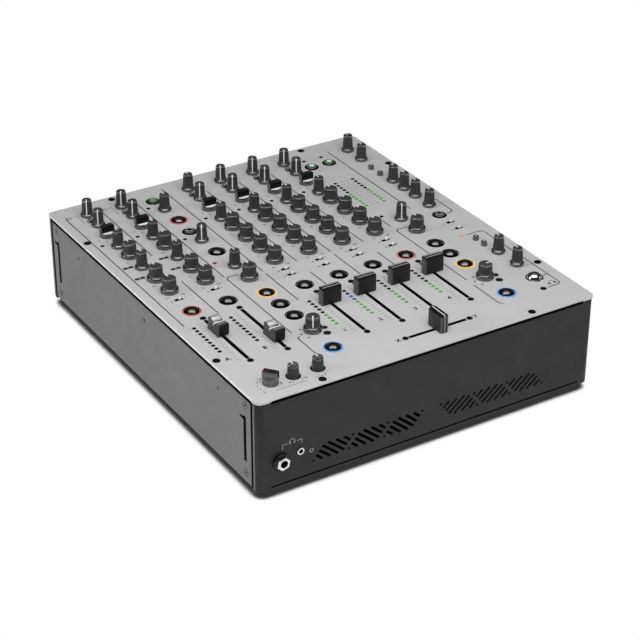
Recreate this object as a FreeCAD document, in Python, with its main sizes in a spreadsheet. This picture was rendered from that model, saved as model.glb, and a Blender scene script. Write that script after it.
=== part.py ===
import FreeCAD
import Part
import Sketcher
import os

# A six-channel DJ mixer for a table top. Millimetres, +Z up, origin on the table under the middle of
# the case, X to the user's right and Y towards the rear. Every size is a named cell of one sheet, and
# every object of the document takes its size and place from those cells.

SIZES = {
    # Case
    "overall_width": 320,
    "overall_depth": 370,
    "case_height": 82,
    "feet_height": 6,
    "fascia_thickness": 2.2,
    "corner_radius": 6,
    "sheet_thickness": 2,
    "panel_inset": 0.5,
    "wrap_depth": 8,
    "flange_depth": 24,
    "joint_gap": 1.2,
    "shadow_gap": 2,
    "side_lift": 2.4,
    "side_flange": 12,
    "socket_reach": 5,
    "part_clearance": 0.3,
    # Front face
    "seam_half_length": 148,
    "seam_width": 1.5,
    "seam_rise": 2.3,
    "vent_angle": 40,
    "vent_width": 2.3,
    "vent_growth": 5.75,
    "vent_step_across": 5.11,
    "vent_step_up": 1.69,
    "vent_block_pitch": 32.5,
    "vent_outer_x": 109.8,
    "vent_rise": 14.4,
    "phones_x": -139.2,
    "phones_rise": 24.3,
    "phones_bore_radius": 3.2,
    "phones_bore_depth": 26,
    "phones_nut_radius": 6.2,
    "phones_collar_radius": 7.2,
    "phones_collar_height": 2.5,
    "small_phones_x": -121.7,
    "small_phones_rise": 27.6,
    "small_phones_bore_radius": 1.8,
    "small_phones_bore_depth": 14,
    "small_phones_radius": 3.1,
    "small_phones_reach": 1,
    "jack_body_width": 14,
    "jack_body_depth": 22,
    "jack_neck_radius": 4.8,
    "small_jack_body_width": 8,
    "small_jack_neck_radius": 2.5,
    "front_screw_x": -111.8,
    "front_screw_rise": 25,
    "front_screw_radius": 2.2,
    # Side faces
    "side_screw_y": 166.5,
    "side_screw_drop": 10.6,
    "side_screw_rise": 10.3,
    "side_screw_radius": 3.1,
    "side_pin_y": 124,
    "side_pin_drop": 18,
    "side_pin_radius": 1.6,
    "side_head": 0.4,
    "side_slot_y": 165.5,
    "side_slot_width": 4.4,
    "side_slot_length": 41,
    "side_slot_drop": 20.5,
    "side_hook_length": 9,
    "side_hook_width": 3,
    "side_hook_angle": 8,
    # Feet and screws
    "foot_x": 132,
    "foot_y": 150,
    "foot_radius": 11,
    "screw_radius": 2.7,
    "screw_head": 0.6,
    "fascia_screw_x": 99,
    "fascia_screw_y": 179.5,
    "edge_screw_x": 154.5,
    "edge_screw_y": 114,
    # Control grid on the fascia
    "column_pitch": 33.5,
    "aux_shift": 2.5,
    "trim_shift": -0.5,
    "gain_shift": -0.7,
    "aux_one_row": 161.5,
    "trim_row": 149.2,
    "aux_two_row": 139.2,
    "selector_row": 117.4,
    "gain_row": 94.5,
    "eq_row": 75,
    "eq_row_pitch": 24,
    "outer_eq_drop": 1,
    "switch_row": -14,
    "switch_row_pitch": 10.5,
    "outer_cue_row": -36,
    "cue_row": -45.5,
    "outer_fader_row": -89,
    "fader_row": -98.75,
    "fader_shift": 2.2,
    "fader_rest": 17.25,
    "fader_a_rest": 12.5,
    "fader_b_rest": -17.5,
    "meter_shift": -11.7,
    "outer_meter_row": -61.7,
    "meter_row": -71.8,
    "meter_pitch": 5.21,
    "clip_row": 102.5,
    # Effect sends and filters
    "send_button_row": 156.5,
    "send_level_row": 136,
    "send_cue_row": 112,
    "send_pitch": 68.8,
    "send_light_row": 146,
    "send_shift": -1.3,
    "send_button_shift": -2.3,
    "send_light_shift": -12.5,
    "filter_drive_row": 12.1,
    "filter_light_row": 25.5,
    "filter_light_shift": -11.8,
    "filter_resonance_row": -12.5,
    "filter_type_row": -41,
    "filter_type_pitch": 21.8,
    "filter_frequency_row": -113,
    "filter_on_row": -143.2,
    # Master column
    "mix_button_row": 143.5,
    "mix_light_row": 157.6,
    "mix_half_spacing": 9.4,
    "mix_shift": -2.2,
    "mix_meter_row": 102.6,
    "master_x": 137,
    "master_trim_x": 134,
    "master_row": 157.3,
    "booth_row": 133.7,
    "master_trim_row": 112.1,
    "master_trim_pitch": 15.3,
    "record_row": 80,
    "record_pitch": 18,
    "monitor_row": 21.8,
    "monitor_button_row": 1.5,
    "monitor_switch_row": -15,
    "monitor_switch_pitch": 13,
    "monitor_light_row": -42,
    "monitor_light_shift": -7,
    "monitor_trim_row": -53.5,
    "monitor_trim_pitch": 11.9,
    "cue_mix_row": -82,
    "phones_level_row": -108.4,
    "split_row": -134.5,
    "split_shift": 1.5,
    "split_light_row": -153.3,
    "split_light_shift": -3.5,
    # Crossfader and its curve controls
    "curve_x": -135.6,
    "curve_row": -164.2,
    "curve_angle": 120,
    "curve_level_x": -115.8,
    "curve_level_pitch": 22,
    "crossfader_x": 19.35,
    "crossfader_row": -161.7,
    # Knobs
    "knob_lift": 0.3,
    "slim_skirt_radius": 6,
    "slim_collar_height": 2.8,
    "slim_collar_radius": 4.7,
    "slim_top_radius": 4.1,
    "slim_height": 16,
    "short_height": 11,
    "fat_skirt_radius": 7.6,
    "fat_skirt_height": 2.8,
    "fat_collar_height": 4.3,
    "fat_collar_radius": 6,
    "fat_top_radius": 5.7,
    "fat_height": 13.3,
    "selector_radius": 6.3,
    "selector_base_height": 5,
    "selector_height": 10.7,
    "selector_grip": 4.4,
    "selector_grip_length": 11.4,
    "trim_radius": 2.8,
    "trim_height": 2.4,
    "master_trim_height": 4,
    "shaft_radius": 2.7,
    "shaft_hole_radius": 3.4,
    # Buttons
    "button_radius": 6.4,
    "button_brow_radius": 4.6,
    "button_edge_height": 1.1,
    "button_height": 2.4,
    "split_button_edge_height": 2.2,
    "split_button_height": 4,
    "button_skirt": 1,
    "button_gap": 0.45,
    "button_travel": 1.2,
    "small_button_radius": 3,
    "small_button_height": 3.2,
    "bezel_radius": 6.6,
    "bezel_top_radius": 4.2,
    "bezel_height": 1.7,
    "stem_radius": 2,
    # Faders
    "slot_length": 69.5,
    "slot_width": 3.2,
    "cross_slot_length": 55,
    "fader_screw_margin": 3.3,
    "fader_screw_radius": 2.2,
    "cap_gap": 1,
    "cap_width": 18.5,
    "cap_foot": 7,
    "cap_crest": 6,
    "cap_height": 15,
    "dual_cap_width": 10,
    "dual_cap_length": 21,
    "dual_cap_crest_width": 8,
    "dual_cap_crest_length": 17,
    "dual_cap_height": 11,
    "dual_saddle_radius": 9,
    "dual_saddle_depth": 2.5,
    "fader_stem_width": 1.6,
    "fader_stem_length": 6,
    "fader_stem_reach": 8,
    "track_width": 14,
    "track_height": 11.5,
    "track_margin": 8,
    "track_floor": 2,
    # Lights and slide switches
    "lamp_length": 2.5,
    "lamp_width": 2,
    "lamp_height": 0.5,
    "dot_radius": 1.7,
    "switch_length": 7,
    "switch_width": 3.2,
    "switch_plate": 0.6,
    "switch_lever": 1.8,
    "switch_height": 2.6,
    # Inside the case
    "board_drop": 13.6,
    "board_thickness": 1.6,
    "board_margin": 8,
    "standoff_radius": 3,
    "standoff_x": 118,
    "standoff_y": 128,
    "standoff_mid_y": 34,
    "pot_size": 9,
    "pot_height": 6.8,
    "trim_pot_size": 5.6,
    "key_switch_size": 6,
    "key_switch_height": 3.4,
    "supply_length": 110,
    "supply_width": 70,
    "supply_height": 36,
    "supply_x": -88,
    "supply_y": 96,
    # Rear face
    "rear_row": 44,
    "socket_flange": 2,
    "phono_face": 1,
    "inlet_x": -122,
    "inlet_width": 52,
    "inlet_height": 30,
    "inlet_body_margin": 3,
    "inlet_body_depth": 30,
    "inlet_wall": 1.3,
    "inlet_hollow_width": 25,
    "inlet_hollow_height": 17,
    "inlet_hollow_depth": 20,
    "rocker_width": 11,
    "rocker_height": 18,
    "rocker_depth": 7,
    "rocker_tilt": 8,
    "rocker_room": 0.8,
    "rocker_side_room": 0.3,
    "rocker_crown": 2,
    "rocker_sink": 1.5,
    "rocker_pocket": 10,
    "main_out_x": -72,
    "main_out_pitch": 32,
    "main_out_width": 26,
    "main_out_height": 31,
    "main_out_radius": 11.5,
    "main_out_bore": 9.4,
    "main_out_depth": 20,
    "main_out_bore_depth": 16,
    "line_x": -12,
    "line_pitch": 17,
    "line_row_pitch": 26,
    "line_nut_radius": 6.6,
    "line_nut_height": 3,
    "line_bore_radius": 3.2,
    "phono_x": 33,
    "phono_pitch": 34,
    "phono_rise": 6,
    "phono_plate": 29,
    "phono_spread": 14,
    "phono_radius": 4.2,
    "data_drop": 25,
    "usb_width": 13,
    "usb_height": 12,
    "usb_hollow": 9,
    "link_width": 16.5,
    "link_height": 14,
    "link_hollow_width": 12,
    "link_hollow_height": 8.6,
    "data_depth": 15,
    "data_reach": 1,
}

ROUND_SIDES = 10
KNOB_SIDES = 8
HALF_SIDE = 22.5
HEX_SIDES = 6
METER_LAMPS = 9
MIX_METER_LAMPS = 11
VENT_SLOTS = 8
VENT_BLOCKS = 3
CHANNELS = (-1, 0, 1, 2)
OUTER_CHANNELS = (-4, -3)
ALL_CHANNELS = OUTER_CHANNELS + CHANNELS
FILTER_COLUMNS = {"one": -2, "two": 3}
SIDES = {"left": -1, "right": 1}

# Places on the faces are drawn for a case of this width and depth, and spread with the case
DRAWN_WIDTH = 320
DRAWN_DEPTH = 370

X_AXIS = FreeCAD.Vector(1, 0, 0)
Y_AXIS = FreeCAD.Vector(0, 1, 0)
Z_AXIS = FreeCAD.Vector(0, 0, 1)

# Heights and faces that several pieces share, written as expressions of the sheet
TOP = "(Size.feet_height + Size.case_height)"
UNDER = f"({TOP} - Size.fascia_thickness)"
BOARD_TOP = f"({UNDER} - Size.board_drop)"
FLOOR_TOP = "(Size.feet_height + Size.sheet_thickness)"
PANEL_HEIGHT = "(Size.case_height - Size.fascia_thickness)"
FRONT_FACE = "(-Size.overall_depth / 2 + Size.panel_inset)"
FRONT_REACH = "(-Size.overall_depth / 2 - Size.socket_reach)"
REAR_FACE = "(Size.overall_depth / 2 - Size.panel_inset)"
REAR_REACH = "(Size.overall_depth / 2 + Size.socket_reach)"
SIDE_FACE = "(Size.overall_width / 2 - Size.panel_inset)"
SIDE_INNER = f"({SIDE_FACE} - Size.sheet_thickness)"
SIDE_HALF_LENGTH = f"({REAR_FACE} - Size.wrap_depth - Size.joint_gap)"
SIDE_TOP = f"({UNDER} - Size.shadow_gap)"
SIDE_BOTTOM = "(Size.feet_height + Size.side_lift)"
THROUGH_SHEET = "Size.sheet_thickness * 3"
REAR_Z = "(Size.feet_height + Size.rear_row)"

doc = FreeCAD.newDocument("mixer")
nodes = []


def fill_sheet():
    sheet = doc.addObject("Spreadsheet::Sheet", "Size")
    for row, (alias, value) in enumerate(SIZES.items(), start=1):
        sheet.set(f"A{row}", alias)
        sheet.set(f"B{row}", str(value))
        sheet.setAlias(f"B{row}", alias)
    doc.recompute()


# Building blocks


def across(x):
    return f"(({x}) * Size.overall_width / {DRAWN_WIDTH})"


def along(y):
    return f"(({y}) * Size.overall_depth / {DRAWN_DEPTH})"


def spread_out(places):
    return [(name, across(x), along(y)) for name, x, y in places]


def bind(piece, expressions):
    for path, text in expressions.items():
        piece.setExpression(path, text)
    return piece


def place(piece, x="0", y="0", z="0"):
    return bind(piece, {"Placement.Base.x": x, "Placement.Base.y": y, "Placement.Base.z": z})


def turn(piece, axis, angle):
    piece.Placement = FreeCAD.Placement(FreeCAD.Vector(), FreeCAD.Rotation(axis, 1))
    return bind(piece, {"Placement.Rotation.Angle": f"({angle}) * 1 deg"})


def box(name, length, width, height, x="0", y="0", z="0"):
    """A block centred on x and y that stands on z."""
    block = doc.addObject("Part::Box", name)
    bind(block, {"Length": length, "Width": width, "Height": height})
    return place(block, f"({x}) - ({length}) / 2", f"({y}) - ({width}) / 2", z)


def deep_box(name, length, height, x, z, front, back):
    """A block centred on x and z that runs from the plane y = front to the plane y = back."""
    depth = f"(({back}) - ({front}))"
    return box(name, length, depth, height, x, f"({front}) + {depth} / 2", f"({z}) - ({height}) / 2")


def tapered_box(name, length, width, height, top_length, top_width):
    """A block on the origin that narrows upwards."""
    wedge = doc.addObject("Part::Wedge", name)
    turn(wedge, X_AXIS, "90")
    extents = {"X": length, "Z": width, "X2": top_length, "Z2": top_width}
    for side, size in extents.items():
        bind(wedge, {f"{side}min": f"-({size}) / 2", f"{side}max": f"({size}) / 2"})
    return bind(wedge, {"Ymin": "0", "Ymax": height})


def prism(name, sides, radius, height, x="0", y="0", z="0"):
    """An upright bar of regular section that stands on z."""
    bar = doc.addObject("Part::Prism", name)
    bar.Polygon = sides
    bind(bar, {"Circumradius": radius, "Height": height})
    return place(bar, x, y, z)


def deep_prism(name, sides, radius, x, z, front, back):
    """A bar of regular section along Y between two planes."""
    bar = prism(name, sides, radius, f"({back}) - ({front})")
    return place(turn(bar, X_AXIS, "90"), x, back, z)


def cylinder(name, radius, height, x="0", y="0", z="0"):
    rod = doc.addObject("Part::Cylinder", name)
    bind(rod, {"Radius": radius, "Height": height})
    return place(rod, x, y, z)


def flat_cone(name, low, high):
    """An eight-sided block with flat faces between two regular sections, each a radius and a height."""
    squares = []
    for number in range(2):
        square = doc.addObject("Part::Wedge", f"{name}_square_{number}")
        turn(square, X_AXIS, "90")
        for suffix, (radius, _) in (("", low), ("2", high)):
            flat = f"({radius}) * cos({HALF_SIDE} deg)"
            for axis in "XZ":
                bind(square, {f"{axis}{suffix}min": f"-{flat}", f"{axis}{suffix}max": flat})
        bind(square, {"Ymin": low[1], "Ymax": high[1]})
        turned = gather(f"{name}_turned_{number}", [square])
        squares.append(turn(turned, Z_AXIS, f"{HALF_SIDE} + 45 * {number}"))
    shared = doc.addObject("Part::MultiCommon", name)
    shared.Shapes = squares
    return shared


def stacked(name, levels):
    """Eight-sided bands on top of each other, through sections given as a radius and a height."""
    bands = []
    for number, (low, high) in enumerate(zip(levels, levels[1:])):
        bands.append(flat_cone(f"{name}_band_{number}", low, high))
    return bands[0] if len(bands) == 1 else fuse(name, bands)


def gather(name, members):
    gathered = doc.addObject("Part::Compound", name)
    gathered.Links = members
    return gathered


def fuse(name, shapes):
    joined = doc.addObject("Part::MultiFuse", name)
    joined.Shapes = shapes
    return joined


def cut(name, base, tools):
    result = doc.addObject("Part::Cut", name)
    result.Base = base
    result.Tool = gather(f"{name}_tools", tools)
    return result


def copy_of(pattern, name, x="0", y="0", z="0"):
    """One more piece of a pattern's shape, at a place of its own."""
    return place(gather(name, [pattern]), x, y, z)


def node(label, piece):
    piece.Label = label
    nodes.append(piece)


def origin_plane(body, role):
    for feature in body.Origin.OriginFeatures:
        if feature.Role == role:
            return feature
    raise ValueError(f"{body.Name} has no {role}")


def rounded_plate(name, width, depth, height, radius, rounded):
    """A plate centred on the origin, with a fillet on each upright edge that rounded(y) picks."""
    body = doc.addObject("PartDesign::Body", name)
    sketch = body.newObject("Sketcher::SketchObject", f"{name}_outline")
    sketch.AttachmentSupport = [(origin_plane(body, "XY_Plane"), "")]
    sketch.MapMode = "FlatFace"
    corners = [FreeCAD.Vector(x, y, 0) for x, y in ((-1, -1), (1, -1), (1, 1), (-1, 1))]
    for start, end in zip(corners, corners[1:] + corners[:1]):
        sketch.addGeometry(Part.LineSegment(start, end))
    for line in range(4):
        sketch.addConstraint(Sketcher.Constraint("Coincident", line, 2, (line + 1) % 4, 1))
    for line, kind in enumerate(("Horizontal", "Vertical", "Horizontal", "Vertical")):
        sketch.addConstraint(Sketcher.Constraint(kind, line))
    sketch.addConstraint(Sketcher.Constraint("Symmetric", 0, 1, 1, 2, -1, 1))
    across = sketch.addConstraint(Sketcher.Constraint("DistanceX", 0, 1, 0, 2, 2))
    along = sketch.addConstraint(Sketcher.Constraint("DistanceY", 1, 1, 1, 2, 2))
    bind(sketch, {f"Constraints[{across}]": width, f"Constraints[{along}]": depth})
    pad = body.newObject("PartDesign::Pad", f"{name}_pad")
    pad.Profile = sketch
    bind(pad, {"Length": height})
    doc.recompute()
    upright = []
    for number, edge in enumerate(pad.Shape.Edges, start=1):
        along_edge = edge.tangentAt(edge.FirstParameter)
        if abs(along_edge.z) > 0.5 and rounded(edge.CenterOfMass.y):
            upright.append(f"Edge{number}")
    fillet = body.newObject("PartDesign::Fillet", f"{name}_corners")
    fillet.Base = (pad, upright)
    bind(fillet, {"Radius": radius})
    body.Tip = fillet
    return body


# Places of the controls on the fascia, each a name with its x and y


def column(number):
    return f"Size.column_pitch * {number}"


def steps(first, pitch, count):
    return [f"Size.{first} - Size.{pitch} * {step}" for step in range(count)]


def strip(prefix, row, columns, shift="0", drop="0"):
    return [
        (f"{prefix}_column_{number + 5}", f"{column(number)} + {shift}", f"{row} - {drop}")
        for number in columns
    ]


SLOT_LENGTH = along("Size.slot_length")
CROSSFADER_PLACE = (across("Size.crossfader_x"), along("Size.crossfader_row"))
EQ_ROWS = steps("eq_row", "eq_row_pitch", 4)
OUTER_FAT_ROWS = [EQ_ROWS[step] for step in (0, 2, 3)]
MIX_X = [f"{column(3)} + Size.mix_shift + Size.mix_half_spacing * {side}" for side in (-1, 1)]


def eq_places():
    places = []
    for number, row in enumerate(EQ_ROWS):
        places += strip(f"eq_{number}", row, CHANNELS)
    for number, row in enumerate(OUTER_FAT_ROWS):
        places += strip(f"outer_eq_{number}", row, OUTER_CHANNELS, drop="Size.outer_eq_drop")
    return spread_out(places)


def slim_places():
    places = strip("aux_one", "Size.aux_one_row", ALL_CHANNELS, "Size.aux_shift")
    places += strip("aux_two", "Size.aux_two_row", ALL_CHANNELS, "Size.aux_shift")
    places += strip("gain", "Size.gain_row", ALL_CHANNELS, "Size.gain_shift")
    places += strip("sweep", EQ_ROWS[1], OUTER_CHANNELS, "Size.gain_shift", "Size.outer_eq_drop")
    for number, row in enumerate(steps("send_level_row", "send_pitch", 2)):
        places.append((f"send_{number}", f"{column(-2)} + Size.send_shift", row))
    for name, number in FILTER_COLUMNS.items():
        places.append((f"drive_{name}", column(number), "Size.filter_drive_row"))
    master_rows = ["Size.booth_row", "Size.monitor_row", "Size.cue_mix_row"]
    for number, row in enumerate(master_rows + steps("record_row", "record_pitch", 3)):
        places.append((f"master_{number}", "Size.master_x", row))
    return spread_out(places)


def short_places():
    places = []
    for step in range(2):
        x = f"Size.curve_level_x + Size.curve_level_pitch * {step}"
        places.append((f"curve_{step}", x, "Size.curve_row"))
    return spread_out(places)


def selector_places():
    return spread_out(strip("selector", "Size.selector_row", ALL_CHANNELS))


def trim_places():
    return spread_out(strip("trim", "Size.trim_row", ALL_CHANNELS, "Size.trim_shift"))


def master_trim_places():
    places = []
    rows = steps("master_trim_row", "master_trim_pitch", 2)
    rows += steps("monitor_trim_row", "monitor_trim_pitch", 2)
    for number, row in enumerate(rows):
        places.append((f"master_trim_{number}", "Size.master_trim_x", row))
    return spread_out(places)


def turning_fat_places():
    places = []
    for name, number in FILTER_COLUMNS.items():
        for control in ("frequency", "resonance"):
            places.append((f"filter_{name}_{control}_knob", column(number), f"Size.filter_{control}_row"))
    return spread_out(places)


def turning_slim_places():
    places = [("master_level_knob", "Size.master_x", "Size.master_row")]
    places.append(("headphone_level_knob", "Size.master_x", "Size.phones_level_row"))
    return spread_out(places)


def turning_selector_places():
    return spread_out([("curve_selector", "Size.curve_x", "Size.curve_row")])


def dome_places():
    places = []
    for name, number in zip(("a", "b"), OUTER_CHANNELS):
        places.append((f"cue_button_{name}", column(number), "Size.outer_cue_row"))
    for number in CHANNELS:
        places.append((f"cue_button_{number + 2}", column(number), "Size.cue_row"))
    for name, row in zip(("one", "two"), steps("send_cue_row", "send_pitch", 2)):
        places.append((f"send_{name}_cue_button", column(-2), row))
    for name, number in FILTER_COLUMNS.items():
        rows = steps("filter_type_row", "filter_type_pitch", 3)
        for kind, row in zip(("high", "band", "low"), rows):
            places.append((f"filter_{name}_{kind}_button", column(number), row))
        places.append((f"filter_{name}_on_button", column(number), "Size.filter_on_row"))
    return spread_out(places)


def split_button_places():
    split_x = "Size.master_trim_x + Size.split_shift"
    return spread_out([("headphone_split_button", split_x, "Size.split_row")])


def small_button_places():
    places = []
    for name, row in zip(("one", "two"), steps("send_button_row", "send_pitch", 2)):
        places.append((f"send_{name}_button", f"{column(-2)} + Size.send_button_shift", row))
    for name, x in zip(("left", "right"), MIX_X):
        places.append((f"mix_{name}_button", x, "Size.mix_button_row"))
    places.append(("monitor_button", "Size.master_trim_x", "Size.monitor_button_row"))
    return spread_out(places)


def fader_places():
    """Each channel fader's name, column, slot centre, and how far above it the cap rests."""
    places = []
    for name, number in zip(("a", "b"), OUTER_CHANNELS):
        x = across(f"{column(number)} + Size.fader_shift")
        places.append((f"fader_{name}", x, along("Size.outer_fader_row"), f"Size.fader_{name}_rest"))
    for number in CHANNELS:
        x = across(f"{column(number)} + Size.fader_shift")
        places.append((f"fader_{number + 2}", x, along("Size.fader_row"), "Size.fader_rest"))
    return places


def switch_places():
    rows = steps("switch_row", "switch_row_pitch", 2)
    places = strip("switch", rows[0], ALL_CHANNELS) + strip("switch_low", rows[1], CHANNELS)
    for number, row in enumerate(steps("monitor_switch_row", "monitor_switch_pitch", 2)):
        places.append((f"monitor_switch_{number}", "Size.master_trim_x", row))
    return spread_out(places)


def lamp_places():
    places = []
    for columns, row in ((OUTER_CHANNELS, "outer_meter_row"), (CHANNELS, "meter_row")):
        for number, y in enumerate(steps(row, "meter_pitch", METER_LAMPS)):
            places += strip(f"lamp_{number}", y, columns, "Size.meter_shift")
    for number, y in enumerate(steps("mix_meter_row", "meter_pitch", MIX_METER_LAMPS)):
        for side, x in enumerate(MIX_X):
            places.append((f"mix_lamp_{number}_{side}", x, y))
    return spread_out(places)


def dot_places():
    places = strip("clip_dot", "Size.clip_row", ALL_CHANNELS, "Size.meter_shift")
    for number, row in enumerate(steps("send_light_row", "send_pitch", 2)):
        places.append((f"send_dot_{number}", f"{column(-2)} + Size.send_light_shift", row))
    for name, number in FILTER_COLUMNS.items():
        x = f"{column(number)} + Size.filter_light_shift"
        places.append((f"filter_dot_{name}", x, "Size.filter_light_row"))
    for side, x in enumerate(MIX_X):
        places.append((f"mix_dot_{side}", x, "Size.mix_light_row"))
    for name in ("monitor", "split"):
        x = f"Size.master_trim_x + Size.{name}_light_shift"
        places.append((f"{name}_dot", x, f"Size.{name}_light_row"))
    return spread_out(places)


# The case


def fascia():
    blank = rounded_plate(
        "fascia_blank",
        "Size.overall_width",
        "Size.overall_depth",
        "Size.fascia_thickness",
        "Size.corner_radius",
        lambda y: True,
    )
    place(blank, z=UNDER)
    depth = "Size.fascia_thickness * 3"
    low = f"{UNDER} - Size.fascia_thickness"
    tools = []
    for name, x, y in turning_fat_places() + turning_slim_places() + turning_selector_places():
        tools.append(prism(f"{name}_hole", KNOB_SIDES, "Size.shaft_hole_radius", depth, x, y, low))
    button_sets = [(dome_places() + split_button_places(), "Size.button_radius")]
    button_sets.append((small_button_places(), "Size.small_button_radius"))
    for places, radius in button_sets:
        for name, x, y in places:
            hole = f"{radius} + Size.button_gap"
            tools.append(prism(f"{name}_hole", KNOB_SIDES, hole, depth, x, y, low))
    for name, x, y, _ in fader_places():
        tools.append(box(f"{name}_slot", "Size.slot_width", SLOT_LENGTH, depth, x, y, low))
    cross_size = ("Size.cross_slot_length", "Size.slot_width", depth)
    tools.append(box("crossfader_slot", *cross_size, *CROSSFADER_PLACE, low))
    node("fascia", cut("fascia_cut", blank, tools))


def end_panel(name, side, extra_tools):
    """The front (side -1) or rear (side 1) panel: a plate that wraps both corners and ends in tabs."""
    face = FRONT_FACE if side < 0 else REAR_FACE
    blank = rounded_plate(
        f"{name}_blank",
        f"{SIDE_FACE} * 2",
        "Size.wrap_depth",
        PANEL_HEIGHT,
        "Size.corner_radius",
        lambda y: y * side > 0,
    )
    place(blank, y=f"{face} - Size.wrap_depth / 2 * {side}", z="Size.feet_height")
    inner = f"({face} - Size.sheet_thickness * {side})"
    hollow = box(
        f"{name}_hollow",
        f"{SIDE_INNER} * 2",
        "Size.wrap_depth",
        f"{PANEL_HEIGHT} * 2",
        "0",
        f"{inner} - Size.wrap_depth / 2 * {side}",
    )
    seams = []
    for edge, rise in (("top", f"{SIDE_TOP}"), ("low", "Size.feet_height + Size.seam_rise")):
        thick = "Size.shadow_gap" if edge == "top" else "Size.seam_width"
        seam = (across("Size.seam_half_length * 2"), THROUGH_SHEET, thick, "0", face, rise)
        seams.append(box(f"{name}_{edge}_seam", *seam))
    shell = cut(f"{name}_shell", blank, [hollow] + seams + extra_tools)
    tabs = []
    tab_height = f"{SIDE_TOP} - Size.sheet_thickness - Size.part_clearance - {FLOOR_TOP}"
    for hand, sign in SIDES.items():
        x = f"({SIDE_INNER} - Size.sheet_thickness / 2) * {sign}"
        y = f"{inner} - Size.flange_depth / 2 * {side}"
        tab = ("Size.sheet_thickness", "Size.flange_depth", tab_height, x, y, FLOOR_TOP)
        tabs.append(box(f"{name}_{hand}_tab", *tab))
    node(name, fuse(f"{name}_fused", [shell] + tabs))


def vent_slot(name, growth):
    """A slot across the sheet with pointed ends; the slot of no growth is a single hole."""
    reach = f"-({THROUGH_SHEET})", THROUGH_SHEET
    end_radius = "Size.vent_width / 2 / cos(30 deg)"
    if growth == 0:
        return deep_prism(name, HEX_SIDES, end_radius, "0", "0", *reach)
    length = f"(Size.vent_growth * {growth})"
    pieces = [deep_box(f"{name}_bar", length, "Size.vent_width", "0", "0", *reach)]
    for hand, sign in SIDES.items():
        end_x = f"{length} / 2 * {sign}"
        pieces.append(deep_prism(f"{name}_{hand}_end", HEX_SIDES, end_radius, end_x, "0", *reach))
    return fuse(name, pieces)


def vent_tools():
    """Slanted slots in blocks: each block's slots grow to the middle and shrink again."""
    tools = []
    for slot in range(VENT_SLOTS):
        bar = vent_slot(f"vent_slot_{slot}", min(slot, VENT_SLOTS - 1 - slot))
        for block in range(VENT_BLOCKS):
            for hand, sign in SIDES.items():
                inward = f"Size.vent_block_pitch * {block} + Size.vent_step_across * {slot}"
                x = across(f"(Size.vent_outer_x - ({inward})) * {sign}")
                z = f"Size.feet_height + Size.vent_rise + Size.vent_step_up * {slot}"
                tool = copy_of(bar, f"vent_{hand}_{block}_{slot}", x, FRONT_FACE, z)
                turn(tool, Y_AXIS, f"Size.vent_angle * {-sign}")
                place(tool, x, FRONT_FACE, z)
                tools.append(tool)
    return tools


JACKS = {
    "phones": {"neck": "Size.jack_neck_radius", "body": "Size.jack_body_width"},
    "small_phones": {"neck": "Size.small_jack_neck_radius", "body": "Size.small_jack_body_width"},
}


def jack_axis(name):
    return across(f"Size.{name}_x"), f"Size.feet_height + Size.{name}_rise"


def front_panel():
    tools = vent_tools()
    for name, jack in JACKS.items():
        x, z = jack_axis(name)
        reach = f"{FRONT_FACE} - {THROUGH_SHEET}", f"{FRONT_FACE} + {THROUGH_SHEET}"
        hole = f"{jack['neck']} + Size.part_clearance"
        tools.append(deep_prism(f"{name}_panel_hole", ROUND_SIDES, hole, x, z, *reach))
    end_panel("front_panel", -1, tools)


def headphone_jacks():
    jacks = []
    for name, jack in JACKS.items():
        x, z = jack_axis(name)
        back = f"{FRONT_FACE} + Size.sheet_thickness"
        neck = deep_prism(f"{name}_neck", ROUND_SIDES, jack["neck"], x, z, FRONT_FACE, back)
        end = f"{back} + Size.jack_body_depth"
        pieces = [neck, deep_box(f"{name}_body", jack["body"], jack["body"], x, z, back, end)]
        if name == "phones":
            mouth = FRONT_REACH
            collar = f"{FRONT_FACE} - Size.phones_collar_height"
            radius = "Size.phones_collar_radius"
            pieces.append(deep_prism("phones_collar", ROUND_SIDES, radius, x, z, collar, FRONT_FACE))
            radius = "Size.phones_nut_radius"
            pieces.append(deep_prism("phones_nut", HEX_SIDES, radius, x, z, mouth, collar))
        else:
            mouth = f"{FRONT_FACE} - Size.small_phones_reach"
            radius = "Size.small_phones_radius"
            pieces.append(deep_prism("small_ring", ROUND_SIDES, radius, x, z, mouth, FRONT_FACE))
        solid = fuse(f"{name}_solid", pieces)
        bore_end = f"{mouth} + Size.{name}_bore_depth"
        bore_size = (ROUND_SIDES, f"Size.{name}_bore_radius", x, z)
        bore = deep_prism(f"{name}_bore", *bore_size, f"{mouth} - Size.sheet_thickness", bore_end)
        jacks.append(cut(f"{name}_jack", solid, [bore]))
    node("headphone_jacks", gather("headphone_jack_pair", jacks))


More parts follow.
